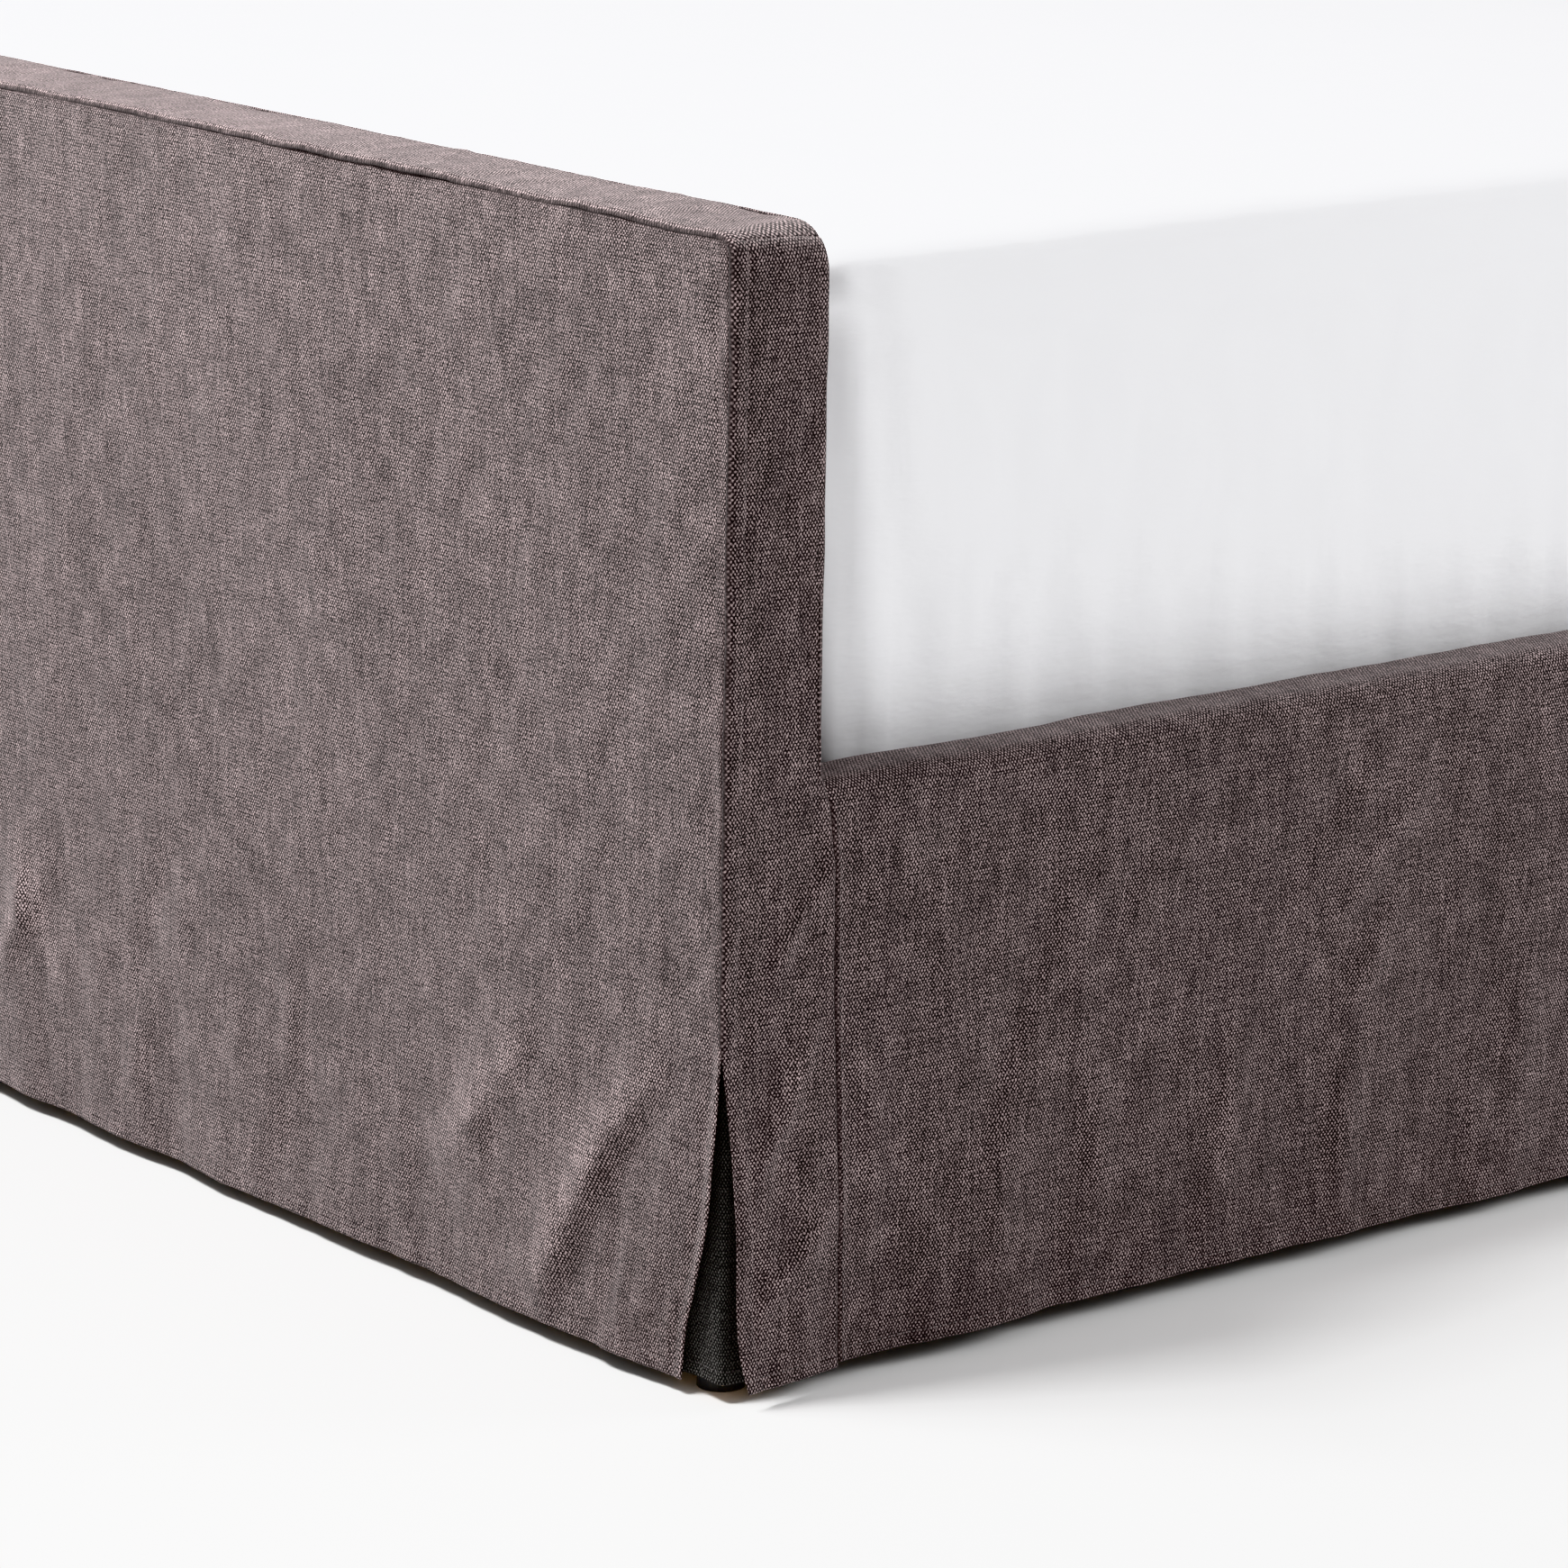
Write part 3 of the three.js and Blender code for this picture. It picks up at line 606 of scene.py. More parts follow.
def drawn_in(distance):
    """How far the outer face is drawn in from the board's edge, to meet the rounded strip."""
    return (ROUNDING + 0.2 * MM) * np.exp(-distance / (14 * MM))


def rim_distance(x, z, height, radius):
    """How far a point of a board's face is inside the face's outline, at the sides and top."""
    dx, dz = np.abs(x) - (HALF_WIDTH - radius), z - (height - radius)
    return radius - np.hypot(np.maximum(dx, 0), np.maximum(dz, 0)) - np.minimum(np.maximum(dx, dz), 0)


def hem_band(rise):
    """The turned-up hem: a thicker band with a row of stitches pressed in along its top."""
    band = 0.7 * MM * (1 - step(rise, 8.5 * MM, 10.5 * MM))
    return band - 0.6 * MM * bump(rise, 8.2 * MM, 1.0 * MM) + 0.25 * MM * bump(rise, 0.5 * MM, 1.5 * MM)


HEM_LINES = [(0, 0.9 * MM), (8.2 * MM, 0.7 * MM)]
STITCH_RISE = 8.2 * MM


def row_run(skin, normal, row):
    return skin[row], normal[row]


def near(values, wanted):
    return int(np.argmin(np.abs(values - wanted)))


# Folds in the footboard's face near its right corner: mm from the corner, and mm up.
FACE_FOLDS = [
    ([(-52, 222), (-84, 186), (-116, 150), (-157, 85), (-196, 18)], 20, 8.5, -0.33),
    ([(-198, 202), (-250, 150), (-310, 84)], 22, 5.0, -0.33),
    ([(-120, 140), (-180, 160), (-246, 168)], 24, 1.6, 0.0),
    ([(-780, 204), (-829, 141), (-866, 86)], 20, 5.5, -0.33),
    ([(-70, 340), (-69, 262)], 7, 1.0, 0.0),
    ([(-483, 205), (-488, 90)], 9, 1.6, 0.0),
    ([(-664, 165), (-682, 20)], 18, 2.0, 0.0),
    ([(-619, 250), (-614, 110)], 12, 1.0, 0.0),
    ([(-618, 273), (-690, 80), (-711, 16)], 14, -1.6, 0.0),
    ([(-404, 110), (-470, 66), (-520, 22)], 26, -2.6, 0.0),
    ([(-62, 700), (-66, 560), (-72, 410)], 16, 0.7, 0.0),
    ([(-70, 190), (-96, 120), (-112, 20)], 12, -1.8, 0.0),
    ([(-28, 236), (-50, 150), (-66, 20)], 12, 1.2, 0.0),
]
# Folds in the end strip: mm from the face, and mm up.
END_FOLDS = [
    ([(94, 360), (62, 319), (30, 278)], 8, 3.0, 0.25),
    ([(84, 392), (72, 330), (60, 262)], 9, -1.0, 0.0),
    ([(78, 258), (55, 195), (22, 142)], 9, 3.6, -0.2),
    ([(94, 124), (52, 82), (26, 56)], 9, 2.8, 0.0),
    ([(60, 180), (40, 100), (36, 20)], 12, -1.4, 0.0),
]
# Folds in the right rail's cover: mm from the footboard's face, and mm up.
RAIL_FOLDS = [
    ([(287, 335), (262, 262), (240, 208), (212, 120)], 13, -3.4, -0.2),
    ([(296, 300), (301, 220), (316, 90)], 11, 2.0, 0.0),
    ([(322, 185), (326, 60)], 10, 1.8, 0.0),
    ([(440, 185), (434, 40)], 14, 3.0, 0.0),
    ([(574, 386), (525, 324), (480, 276)], 14, -2.6, 0.0),
    ([(624, 338), (560, 271), (520, 225)], 13, 2.4, 0.0),
    ([(598, 256), (541, 166)], 12, 2.0, 0.0),
    ([(727, 378), (738, 296)], 12, 1.6, 0.0),
    ([(198, 376), (158, 316)], 11, -1.8, 0.0),
    ([(376, 336), (312, 268)], 13, -1.4, 0.0),
    ([(545, 140), (543, 40)], 12, 1.8, 0.0),
    ([(675, 140), (673, 40)], 14, 2.0, 0.0),
    ([(130, 392), (180, 300), (200, 210)], 12, 1.5, 0.0),
    ([(108, 250), (126, 140), (122, 60)], 10, 1.4, 0.0),
]


# Where the further folds lie: their reach along the rail, heights, lengths and widths, in mm.
FOLD_KIND = ((800, 2080), 370, (80, 220), (10, 18))


def random_folds(seed, count, reach, top, tall, width):
    """More folds of the same kind where none was seen: mostly upright, leaning a little."""
    rng = np.random.default_rng(seed)
    made = []
    for _ in range(count):
        a = rng.uniform(*reach)
        high = rng.uniform(0.5, 1.0) * top
        low = max(high - rng.uniform(*tall), 8)
        lean = rng.normal(0, 0.35) * (high - low)
        bow = rng.normal(0, 0.06) * (high - low)
        points = [(a, high), (a + lean / 2 + bow, (high + low) / 2), (a + lean, low)]
        made.append((points, rng.uniform(*width), rng.choice([-1, 1]) * rng.uniform(1.0, 2.8), 0.0))
    return made


def add_folds(a, b, folds):
    total = np.zeros(np.broadcast(a, b).shape)
    for points, width, height, lean in folds:
        total += fold(a, b, points, width, height, lean)
    return total


def crest_highlight_of(a, b, folds):
    """How strong the painted highlight is: most along the crests of the sharpest folds, from 0 to 1."""
    total = np.zeros(np.broadcast(a, b).shape)
    for points, width, height, lean in folds:
        if height > 0:
            total += fold(a, b, points, width * 0.55, 110 * height, 2.7 * lean)
    return np.clip(total, 0, 1)


def outer_face(board):
    """The big outer face, from the top seam to the hem, with its two corner flaps."""
    height, seed = board.height, board.seed
    fine_x = [(s * HALF_WIDTH, 0.35 * MM) for s in (-1, 1)] + [(s * (HALF_WIDTH - 0.12), 3.2 * MM) for s in (-1, 1)]
    xs = lines(-HALF_WIDTH, HALF_WIDTH, 7.5 * MM, fine_x)
    fine_z = [(HEM + rise, space) for rise, space in HEM_LINES]
    fine_z += [(height, 0.35 * MM), (HEM + 0.12, 3.6 * MM)]
    zs = lines(HEM, height, 7.5 * MM, fine_z)
    x, z = np.meshgrid(xs, zs)
    radius = FRONT_RADIUS
    column_top = height - radius + np.sqrt(
        np.maximum(radius**2 - np.maximum(np.abs(x) - (HALF_WIDTH - radius), 0) ** 2, 0)
    )
    z = HEM + (z - HEM) * (column_top - HEM) / (height - HEM)
    inside = rim_distance(x, z, height, radius)
    sewn = step(z, PLEAT_TOP - 4 * MM, PLEAT_TOP + 4 * MM)
    side = np.sign(x)
    size = np.where(side > 0, board.flare[1], board.flare[-1])
    swing = front_flap(z, size) * step(np.abs(x), HALF_WIDTH - 0.15, HALF_WIDTH)
    from_edge = HALF_WIDTH - np.abs(x)
    hang = 1 - step(z, 0.03, 0.27)

    out = 1.0 * MM * wander(seed, x, z, 0.40, 0.45)
    out += 0.35 * MM * wander(seed + 1, x, z, 0.07, 0.12)
    turned = drawn_in(inside) * sewn
    out += (0.3 * MM * bump(inside, 5 * MM, 3 * MM) - 1.0 * MM * bump(inside, 0, 1.3 * MM)) * sewn
    out -= 1.2 * MM * bump(inside, 0, 16 * MM) * sewn
    out += 0.22 * MM * wander(seed + 2, x, z, 0.022, 0.06) * np.exp(-inside / 0.02) * sewn
    out += hang * 1.3 * MM * wander(seed + 3, x, z, 0.22, 1.2)
    out += hang * 0.4 * MM * wander(seed + 4, x, z, 0.07, 0.35)
    out += hem_band(z - HEM)
    # The flap's turned edge is thicker, and its foot curls back under the corner.
    out += (1 - sewn) * 0.7 * MM * (bump(from_edge, 1.5 * MM, 3 * MM) - bump(from_edge, 9 * MM, 4 * MM))
    out -= (1 - sewn) * 5.0 * MM * np.exp(-from_edge / 0.035) * np.clip(1 - z / PLEAT_TOP, 0, 1) ** 1.5
    measured = add_folds(x - HALF_WIDTH, z, FACE_FOLDS)
    mirrored = add_folds(-x - HALF_WIDTH, z, FACE_FOLDS[:4])
    if board.end < 0:
        out += measured + 0.8 * mirrored * (x < 0)
    else:
        out += 0.75 * add_folds(x - HALF_WIDTH, z, FACE_FOLDS[:3]) + 0.65 * mirrored
        out += hang * add_folds(x, z, random_folds(seed + 5, 8, (-650, 650), 220, (70, 180), (10, 22)))
    out = np.maximum(out, -4.4 * MM - 2 * MM * (1 - sewn))
    lift = (1 - step(z, 0.02, 0.15)) * (0.8 * MM * wander(seed + 6, x, z * 0, 0.5, 1) + 0.4 * MM)
    # Round the corner the edge turns in towards the middle of the rounding.
    dx, dz = np.abs(x) - (HALF_WIDTH - radius), z - (height - radius)
    far = np.maximum(np.hypot(np.maximum(dx, 0), np.maximum(dz, 0)), 1e-6)
    turned_x = np.where(dz > 0, np.maximum(dx, 0) / far, dx > 0) * turned
    turned_z = np.where(dx > 0, np.maximum(dz, 0) / far, dz > 0) * turned
    skin = np.stack([x + side * (swing - turned_x), board.y(-out), z + lift - turned_z], axis=2)
    skin[..., 2] = np.minimum(skin[..., 2], height)
    # Painted highlight along the fold crests and the flaps' turned edges. The last channel marks the seams, where the
    # weave flattens and shade is painted.
    wear_and_painted_light = crest_highlight_of(x - HALF_WIDTH, z, FACE_FOLDS) + crest_highlight_of(-x - HALF_WIDTH, z, FACE_FOLDS[:4])
    wear_and_painted_light += 0.45 * bump(from_edge, 0.5 * MM, 1.6 * MM) * (1 - sewn)
    uv = np.stack([x + side * swing * 0.6, z, wear_and_painted_light, bump(inside, 0, SEAM_WIDE) * sewn], axis=2)
    name = f"{board.prefix}_outer_panel"
    outward = (0, board.end, 0)
    obj = shell(name, [(skin, uv, np.full(x.shape, CLOTH), outward)])
    settle(obj, cover_cloth, "frame", "cover_cloth", f"{board.prefix}_cover_outer")
    normal = shell_normals(skin, outward)
    hem_row = near(zs, HEM + STITCH_RISE)
    seam = [row_run(skin, normal, hem_row)]
    thread_obj = stitches(f"{board.prefix}_outer_hem_stitches", seam)
    settle(thread_obj, cover_thread, "frame", "cover_cloth")
    return obj


def shell_normals(skin, outward):
    normal = normals_of(skin)
    return normal if (normal * outward).sum() > 0 else -normal


def inner_face(board):
    """The face towards the mattress. It is narrower below the rails' tops."""
    height, seed, radius = board.height, board.seed + 100, BACK_RADIUS
    notch_x, notch_z = RAIL_INSIDE - 0.3 * MM, RAIL_TOP + 0.3 * MM
    middle = lines(-notch_x, notch_x, 9 * MM)
    outer = lines(notch_x, HALF_WIDTH, 7.5 * MM, [(HALF_WIDTH, 0.8 * MM)])[1:]
    xs = np.concatenate([-outer[::-1], middle, outer])
    lower = lines(INNER_BOTTOM, notch_z, 12 * MM)
    upper = lines(notch_z, height, 8 * MM, [(height, 0.8 * MM)])[1:]
    zs = np.concatenate([lower, upper])
    x, z = np.meshgrid(xs, zs)
    column_top = height - radius + np.sqrt(
        np.maximum(radius**2 - np.maximum(np.abs(x) - (HALF_WIDTH - radius), 0) ** 2, 0)
    )
    squeeze = step(z, notch_z, height)
    z = z - squeeze * (height - column_top)
    inside = rim_distance(x, z, height, radius)
    out = 1.0 * MM * wander(seed, x, z, 0.40, 0.45) * step(z, notch_z, notch_z + 0.08)
    out += 0.35 * MM * wander(seed + 1, x, z, 0.08, 0.14)
    out -= 0.9 * MM * bump(inside, 0, 1.7 * MM)
    out -= 0.8 * MM * bump(inside, 0, 16 * MM)
    out += 0.22 * MM * wander(seed + 2, x, z, 0.022, 0.06) * np.exp(-inside / 0.02)
    skin = np.stack([x, board.y(THICK + out), z], axis=2)
    centre_x, centre_z = (xs[1:] + xs[:-1]) / 2, (zs[1:] + zs[:-1]) / 2
    keep = (centre_z[:, None] > notch_z) | (np.abs(centre_x)[None] < notch_x)
    uv = np.stack([-x, z], axis=2)
    obj = shell(f"{board.prefix}_inner_panel", [(skin, uv, np.full(x.shape, CLOTH), (0, -board.end, 0), keep)])
    settle(obj, cover_cloth, "frame", "cover_cloth", f"{board.prefix}_cover_inner")
    return obj


def edge_profile(depth, back):
    """How far the boxing strip stands out from the outline: pulled in at both of its seams,
    and raised over the seam allowance that lies under it beside the outer seam."""
    out = -rounded(depth - STRIP_START) - 0.9 * MM * bump(back - depth, 0, 1.6 * MM)
    out += 0.9 * MM * step(depth, 1 * MM, 5 * MM) * (1 - step(depth, 11 * MM, 13.5 * MM))
    out -= 0.35 * MM * bump(depth, 13 * MM, 1.6 * MM)
    return out + 0.8 * MM * np.sin(math.pi * np.clip(depth / back, 0, 1))


STRIP_DEPTHS = [(0, 0.35 * MM), (12.2 * MM, 0.8 * MM), (THICK, 0.8 * MM)]
STRIP_START = 0.3 * MM


def corner_radius(share):
    return FRONT_RADIUS + (BACK_RADIUS - FRONT_RADIUS) * share


def end_strip(board, side):
    """The boxing strip up a board's end, from the hem to the middle of the rounded corner."""
    height = board.height
    seed = board.seed + 200 + side
    depths = lines(STRIP_START, THICK - STRIP_START, 4.2 * MM, STRIP_DEPTHS)
    share = depths / THICK
    fine_z = [(HEM + rise, space) for rise, space in HEM_LINES] + [(RAIL_TOP, 2.2 * MM), (PLEAT_TOP, 3 * MM)]
    straight = lines(HEM, height - FRONT_RADIUS, 6 * MM, fine_z)
    angles = np.linspace(0, math.pi / 4 - 0.004, 9)[1:]
    size = board.flare[side]
    rows, ups = [], []
    for z in straight:
        top = height - corner_radius(share)
        pulled = z + (top - (height - FRONT_RADIUS)) * step(z, height - 0.2, height - FRONT_RADIUS)
        front = end_flap(np.array(z), size) + STRIP_START
        back = rail_seam(np.array(z)) - (STRIP_START if z > 0.417 else 0)
        depth = front + (back - front) * (depths - depths[0]) / (depths[-1] - depths[0])
        rows.append(np.stack([np.full_like(depth, HALF_WIDTH), depth, pulled, np.ones_like(depth), depth * 0], axis=1))
        ups.append(pulled)
    for angle in angles:
        r = corner_radius(share)
        out_x, out_z = math.cos(angle), math.sin(angle)
        x = HALF_WIDTH - r + r * out_x
        z = height - r + r * out_z
        rows.append(np.stack([x, depths, z, depths * 0 + out_x, depths * 0 + out_z], axis=1))
        ups.append(height - r + r * angle)
    grid, up = np.array(rows), np.array(ups)
    x, depth, z, out_x, out_z = np.moveaxis(grid, 2, 0)
    front = end_flap(z, size)
    back = rail_seam(z)
    sewn = step(z, PLEAT_TOP - 4 * MM, PLEAT_TOP + 4 * MM)
    above = step(z, RAIL_TOP - 0.01, RAIL_TOP + 0.015)
    inset = depth - front
    out = -rounded(inset - STRIP_START) * sewn
    out -= 0.9 * MM * bump(back - depth, 0, 1.6 * MM) * above
    out -= 0.9 * MM * bump(back - depth, 0, 0.9 * MM) * (1 - above)
    ease = 0.55 + 0.45 * step(z, height - 0.35, height - 0.05)
    out += 0.9 * MM * ease * step(inset, 1 * MM, 5 * MM) * (1 - step(inset, 11 * MM, 13.5 * MM))
    out -= 0.35 * MM * ease * bump(inset, 13 * MM, 1.6 * MM)
    out += 0.8 * MM * np.sin(math.pi * np.clip(depth / THICK, 0, 1)) * above
    out -= 0.35 * MM * bump(up, up[-1], 3.5 * MM)
    out += 0.25 * MM * wander(seed + 1, depth, z, 0.03, 0.09) * step(back - depth, 0, 0.02)
    out += side_waves(side, board.y(depth), z)
    out += hem_band(z - HEM)
    out += (1 - sewn) * 5.5 * MM * np.exp(-inset / 0.03) * np.clip(1 - z / PLEAT_TOP, 0, 1) ** 1.5
    skin = np.stack([side * (x + out * out_x), board.y(depth), z + out * out_z], axis=2)
    # Painted highlight along the fold crests and on the ridge beside the front seam. The seam channel paints shade at
    # both seams.
    wear_and_painted_light = crest_highlight_of(depth, z, END_FOLDS) + 0.4 * bump(inset, 1.8 * MM, 1.3 * MM) * sewn
    seam = np.maximum(bump(inset, 0, 0.8 * SEAM_WIDE) * sewn, 0.85 * bump(back - depth, 0, 0.5 * SEAM_WIDE))
    uv = np.stack([depth, up, wear_and_painted_light, seam], axis=2)
    name = f"{board.prefix}_end_strip_{'right' if side > 0 else 'left'}"
    outward = (side, 0, 0)
    obj = shell(name, [(skin, uv, np.full(x.shape, CLOTH), outward)])
    node_name = f"{board.prefix}_cover_end_{'right' if side > 0 else 'left'}"
    settle(obj, cover_cloth, "frame", "cover_cloth", node_name)
    normal = shell_normals(skin, outward)
    thread_obj = stitches(f"{name}_stitches", [row_run(skin, normal, near(straight, HEM + STITCH_RISE))])
    settle(thread_obj, cover_thread, "frame", "cover_cloth")
    return obj


def top_strip(board):
    """The boxing strip along a board's top, down to the middle of each rounded corner."""
    height = board.height
    depths = lines(STRIP_START, THICK - STRIP_START, 4.2 * MM, STRIP_DEPTHS)
    radius = corner_radius(depths / THICK)
    angles = np.linspace(math.pi / 4 + 0.004, math.pi / 2, 9)
    along = lines(-(HALF_WIDTH - FRONT_RADIUS), HALF_WIDTH - FRONT_RADIUS, 7 * MM)[1:-1]
    columns = []
    for angle in angles:
        r = radius
        columns.append([HALF_WIDTH - r + r * math.cos(angle), depths, height - r + r * math.sin(angle),
                        depths * 0 + math.cos(angle), depths * 0 + math.sin(angle)])
    right = [np.array(c) for c in columns]
    left = [np.array([-c[0], c[1], c[2], -c[3], c[4]]) for c in columns][::-1]
    middle = []
    for place in along[::-1]:
        share = place / (HALF_WIDTH - FRONT_RADIUS)
        middle.append(np.array([share * (HALF_WIDTH - radius), depths, depths * 0 + height, depths * 0, depths * 0 + 1]))
    grid = np.array(right + middle + left)
    x, depth, z, out_x, out_z = np.moveaxis(grid, 1, 0)
    reach = np.cumsum(np.hypot(*np.diff(np.stack([x[:, 0], z[:, 0]]), axis=1)))
    reach = np.concatenate([[0], reach])[:, None]
    run = HALF_WIDTH - np.broadcast_to(reach, x.shape)
    end = np.minimum(reach, reach[-1] - reach)
    out = edge_profile(depth, THICK)
    out -= 0.35 * MM * bump(end, 0, 3.5 * MM)
    out += 0.5 * MM * wander(board.seed + 300, x, depth, 0.13, 0.3)
    out += 0.25 * MM * wander(board.seed + 301, x, depth, 0.035, 0.05)
    out = np.minimum(out, 1.6 * MM)
    skin = np.stack([x + out * out_x, board.y(depth), z + out * out_z], axis=2)
    # Painted highlight on the rounded edge beside the front seam. The seam channel paints shade at that seam.
    wear_and_painted_light = 0.35 * bump(depth, 2.4 * MM, 1.8 * MM)
    uv = np.stack([run, depth, wear_and_painted_light, bump(depth, 0, 0.6 * SEAM_WIDE)], axis=2)
    obj = shell(f"{board.prefix}_top_strip", [(skin, uv, np.full(x.shape, CLOTH), (0, 0, 1))])
    settle(obj, cover_cloth, "frame", "cover_cloth", f"{board.prefix}_cover_top")
    return obj


def pleat_insert(board, side):
    """The insert behind the open corner: folded round the post, hemmed a little shorter."""
    recess, bend = 12.3 * MM, 7 * MM
    front_x = pleat_low.x
    corner_x = HALF_WIDTH - recess
    end_depth = recess + 0.047
    leg = lines(front_x, corner_x - bend, 5 * MM)
    turns = np.linspace(0, math.pi / 2, 8)[1:]
    back = lines(recess + bend, end_depth, 5 * MM)[1:]
    path = [(x, recess, 0, -1) for x in leg]
    path += [(corner_x - bend + bend * math.sin(t), recess + bend - bend * math.cos(t), math.sin(t), -math.cos(t)) for t in turns]
    path += [(corner_x, depth, 1, 0) for depth in back]
    path = np.array(path)
    reach = np.concatenate([[0], np.cumsum(np.linalg.norm(np.diff(path[:, :2], axis=0), axis=1))])
    low, high = HEM + 1 * MM, pleat_high.z - 2 * MM
    zs = lines(low, high, 7 * MM, [(low + rise, space) for rise, space in HEM_LINES])
    s, z = np.meshgrid(reach, zs)
    x, depth, out_x, out_d = (np.broadcast_to(path[:, k], s.shape) for k in range(4))
    seed = board.seed + 400 + side
    hang = 1 - step(z, low, high)
    out = hang * 0.9 * MM * wander(seed, s, z, 0.06, 0.4) + hem_band(z - low) * 0.8
    out -= 0.6 * MM
    skin = np.stack([side * (x + out * out_x), board.y(depth + out * out_d), z], axis=2)
    uv = np.stack([s, z], axis=2)
    side_name = "right" if side > 0 else "left"
    name = f"{board.prefix}_pleat_insert_{side_name}"
    obj = shell(name, [(skin, uv, np.full(s.shape, 1.2 * MM), (side, board.end, 0))])
    settle(obj, pleat_cloth, "frame", "pleat_cloth", f"{board.prefix}_pleat_{side_name}")
    normal = shell_normals(skin, (side, board.end, 0))
    thread_obj = stitches(f"{name}_stitches", [row_run(skin, normal, near(zs, low + STITCH_RISE))])
    settle(thread_obj, shaded_pleat_thread, "frame", "pleat_cloth")
    return obj


def padding_wrap(board):
    """Wadding under the cover: a hood over the board and a pad down each end."""
    skin_in, fill = 5.0 * MM, 9.0 * MM
    bottom = 0.252
    top = board.height - skin_in
    bend = 8 * MM
    rise = lines(bottom, top - bend, 24 * MM)
    turn = np.linspace(0, math.pi / 2, 5)[1:]
    path = [(skin_in, z) for z in rise]
    path += [(skin_in + bend * (1 - math.cos(t)), top - bend + bend * math.sin(t)) for t in turn]
    path += [(THICK - d, z) for d, z in path[::-1]]
    path = np.array(path)
    reach = HALF_WIDTH - BACK_RADIUS
    xs = lines(-reach, reach, 30 * MM)
    x, index = np.meshgrid(xs, np.arange(len(path)))
    depth, z = path[index, 0], path[index, 1]
    wave = 0.5 * MM * wander(board.seed + 500, x, z + depth, 0.15, 0.15) - 0.7 * MM
    middle = THICK / 2
    sign = np.clip((depth - middle) / (middle - skin_in), -1, 1)
    level = (z > top - 1 * MM) * 1.0
    skin = np.stack([x, board.y(depth + sign * wave * (1 - level)), z + wave * level], axis=2)
    uv = np.stack([x, z + depth], axis=2)
    # The hood's arms stop above the rails on the mattress side, as the wadding is notched there.
    centre = (xs[1:] + xs[:-1]) / 2
    upper = (path[1:, 1] + path[:-1, 1]) / 2
    inner_side = (path[1:, 0] + path[:-1, 0]) / 2 > middle
    beside = np.abs(centre) > RAIL_INSIDE - 6 * MM
    keep = ~((inner_side & (upper < RAIL_TOP + 12 * MM))[:, None] & beside[None])
    outward = np.stack([x * 0, board.end * -sign, level], axis=2)
    grids = [(skin, uv, np.full(x.shape, fill), outward, keep)]
    for side in (-1, 1):
        depths = lines(skin_in + fill + 2 * MM, THICK - skin_in - fill - 2 * MM, 9 * MM)
        zs = lines(RAIL_TOP + 12 * MM, board.height - BACK_RADIUS - 4 * MM, 24 * MM)
        d, z_end = np.meshgrid(depths, zs)
        wave = 0.4 * MM * wander(board.seed + 501 + side, d, z_end, 0.06, 0.2) - 0.6 * MM
        pad = np.stack([side * (HALF_WIDTH - skin_in + wave), board.y(d), z_end], axis=2)
        grids.append((pad, np.stack([d, z_end], axis=2), np.full(d.shape, fill), (side, 0, 0)))
    obj = shell(f"{board.prefix}_padding_wrap", grids)
    settle(obj, padding_fill, "frame", "padding", f"{board.prefix}_padding")
    return obj


def side_waves(side, y, up):
    """The cloth's drift and folds down one side of the bed: rail cover and end strips alike."""
    seed = 700 + side
    hang = 1 - step(up, 0.03, 0.30)
    out = 0.7 * MM * wander(seed, y, up, 0.35, 0.5)
    out += 0.3 * MM * wander(seed + 1, y, up, 0.08, 0.12)
    out += hang * 1.5 * MM * wander(seed + 2, y, up, 0.16, 0.9)
    out += hang * 0.6 * MM * wander(seed + 3, y, up, 0.06, 0.3)
    foot, head = y + HALF_LENGTH, HALF_LENGTH - y
    if side > 0:
        out += add_folds(foot, up, END_FOLDS + RAIL_FOLDS + random_folds(705, 22, *FOLD_KIND))
        out += 0.8 * add_folds(head, up, END_FOLDS)
    else:
        out += add_folds(foot, up, random_folds(706, 30, *FOLD_KIND))
        out += 0.7 * add_folds(foot, up, END_FOLDS) + 0.6 * add_folds(head, up, END_FOLDS)
    return out * (1 - 0.55 * bump(up, RAIL_TOP + 5 * MM, 40 * MM))


def rail_section():
    """The rail cover's cross-section from the outer hem up, over the top and down inside."""
    outer = lines(RAIL_HEM, RAIL_TOP - RAIL_RADIUS, 7 * MM, [(RAIL_HEM + r, s) for r, s in HEM_LINES])
    section = [(HALF_WIDTH, z, 1, 0) for z in outer]
    for t in np.linspace(0, math.pi / 2, 9)[1:]:
        section.append((
            HALF_WIDTH - RAIL_RADIUS * (1 - math.cos(t)), RAIL_TOP - RAIL_RADIUS * (1 - math.sin(t)),
            math.cos(t), math.sin(t),
        ))
    small = 5 * MM
    for x in np.linspace(HALF_WIDTH - RAIL_RADIUS, RAIL_INSIDE + small, 8)[1:]:
        section.append((x, RAIL_TOP, 0, 1))
    for t in np.linspace(0, math.pi / 2, 5)[1:]:
        section.append((
            RAIL_INSIDE + small * (1 - math.sin(t)), RAIL_TOP - small * (1 - math.cos(t)),
            -math.sin(t), math.cos(t),
        ))
    for z in np.linspace(RAIL_TOP - small, 0.3585, 6)[1:]:
        section.append((RAIL_INSIDE, z, -1, 0))
    return np.array(section), len(outer)


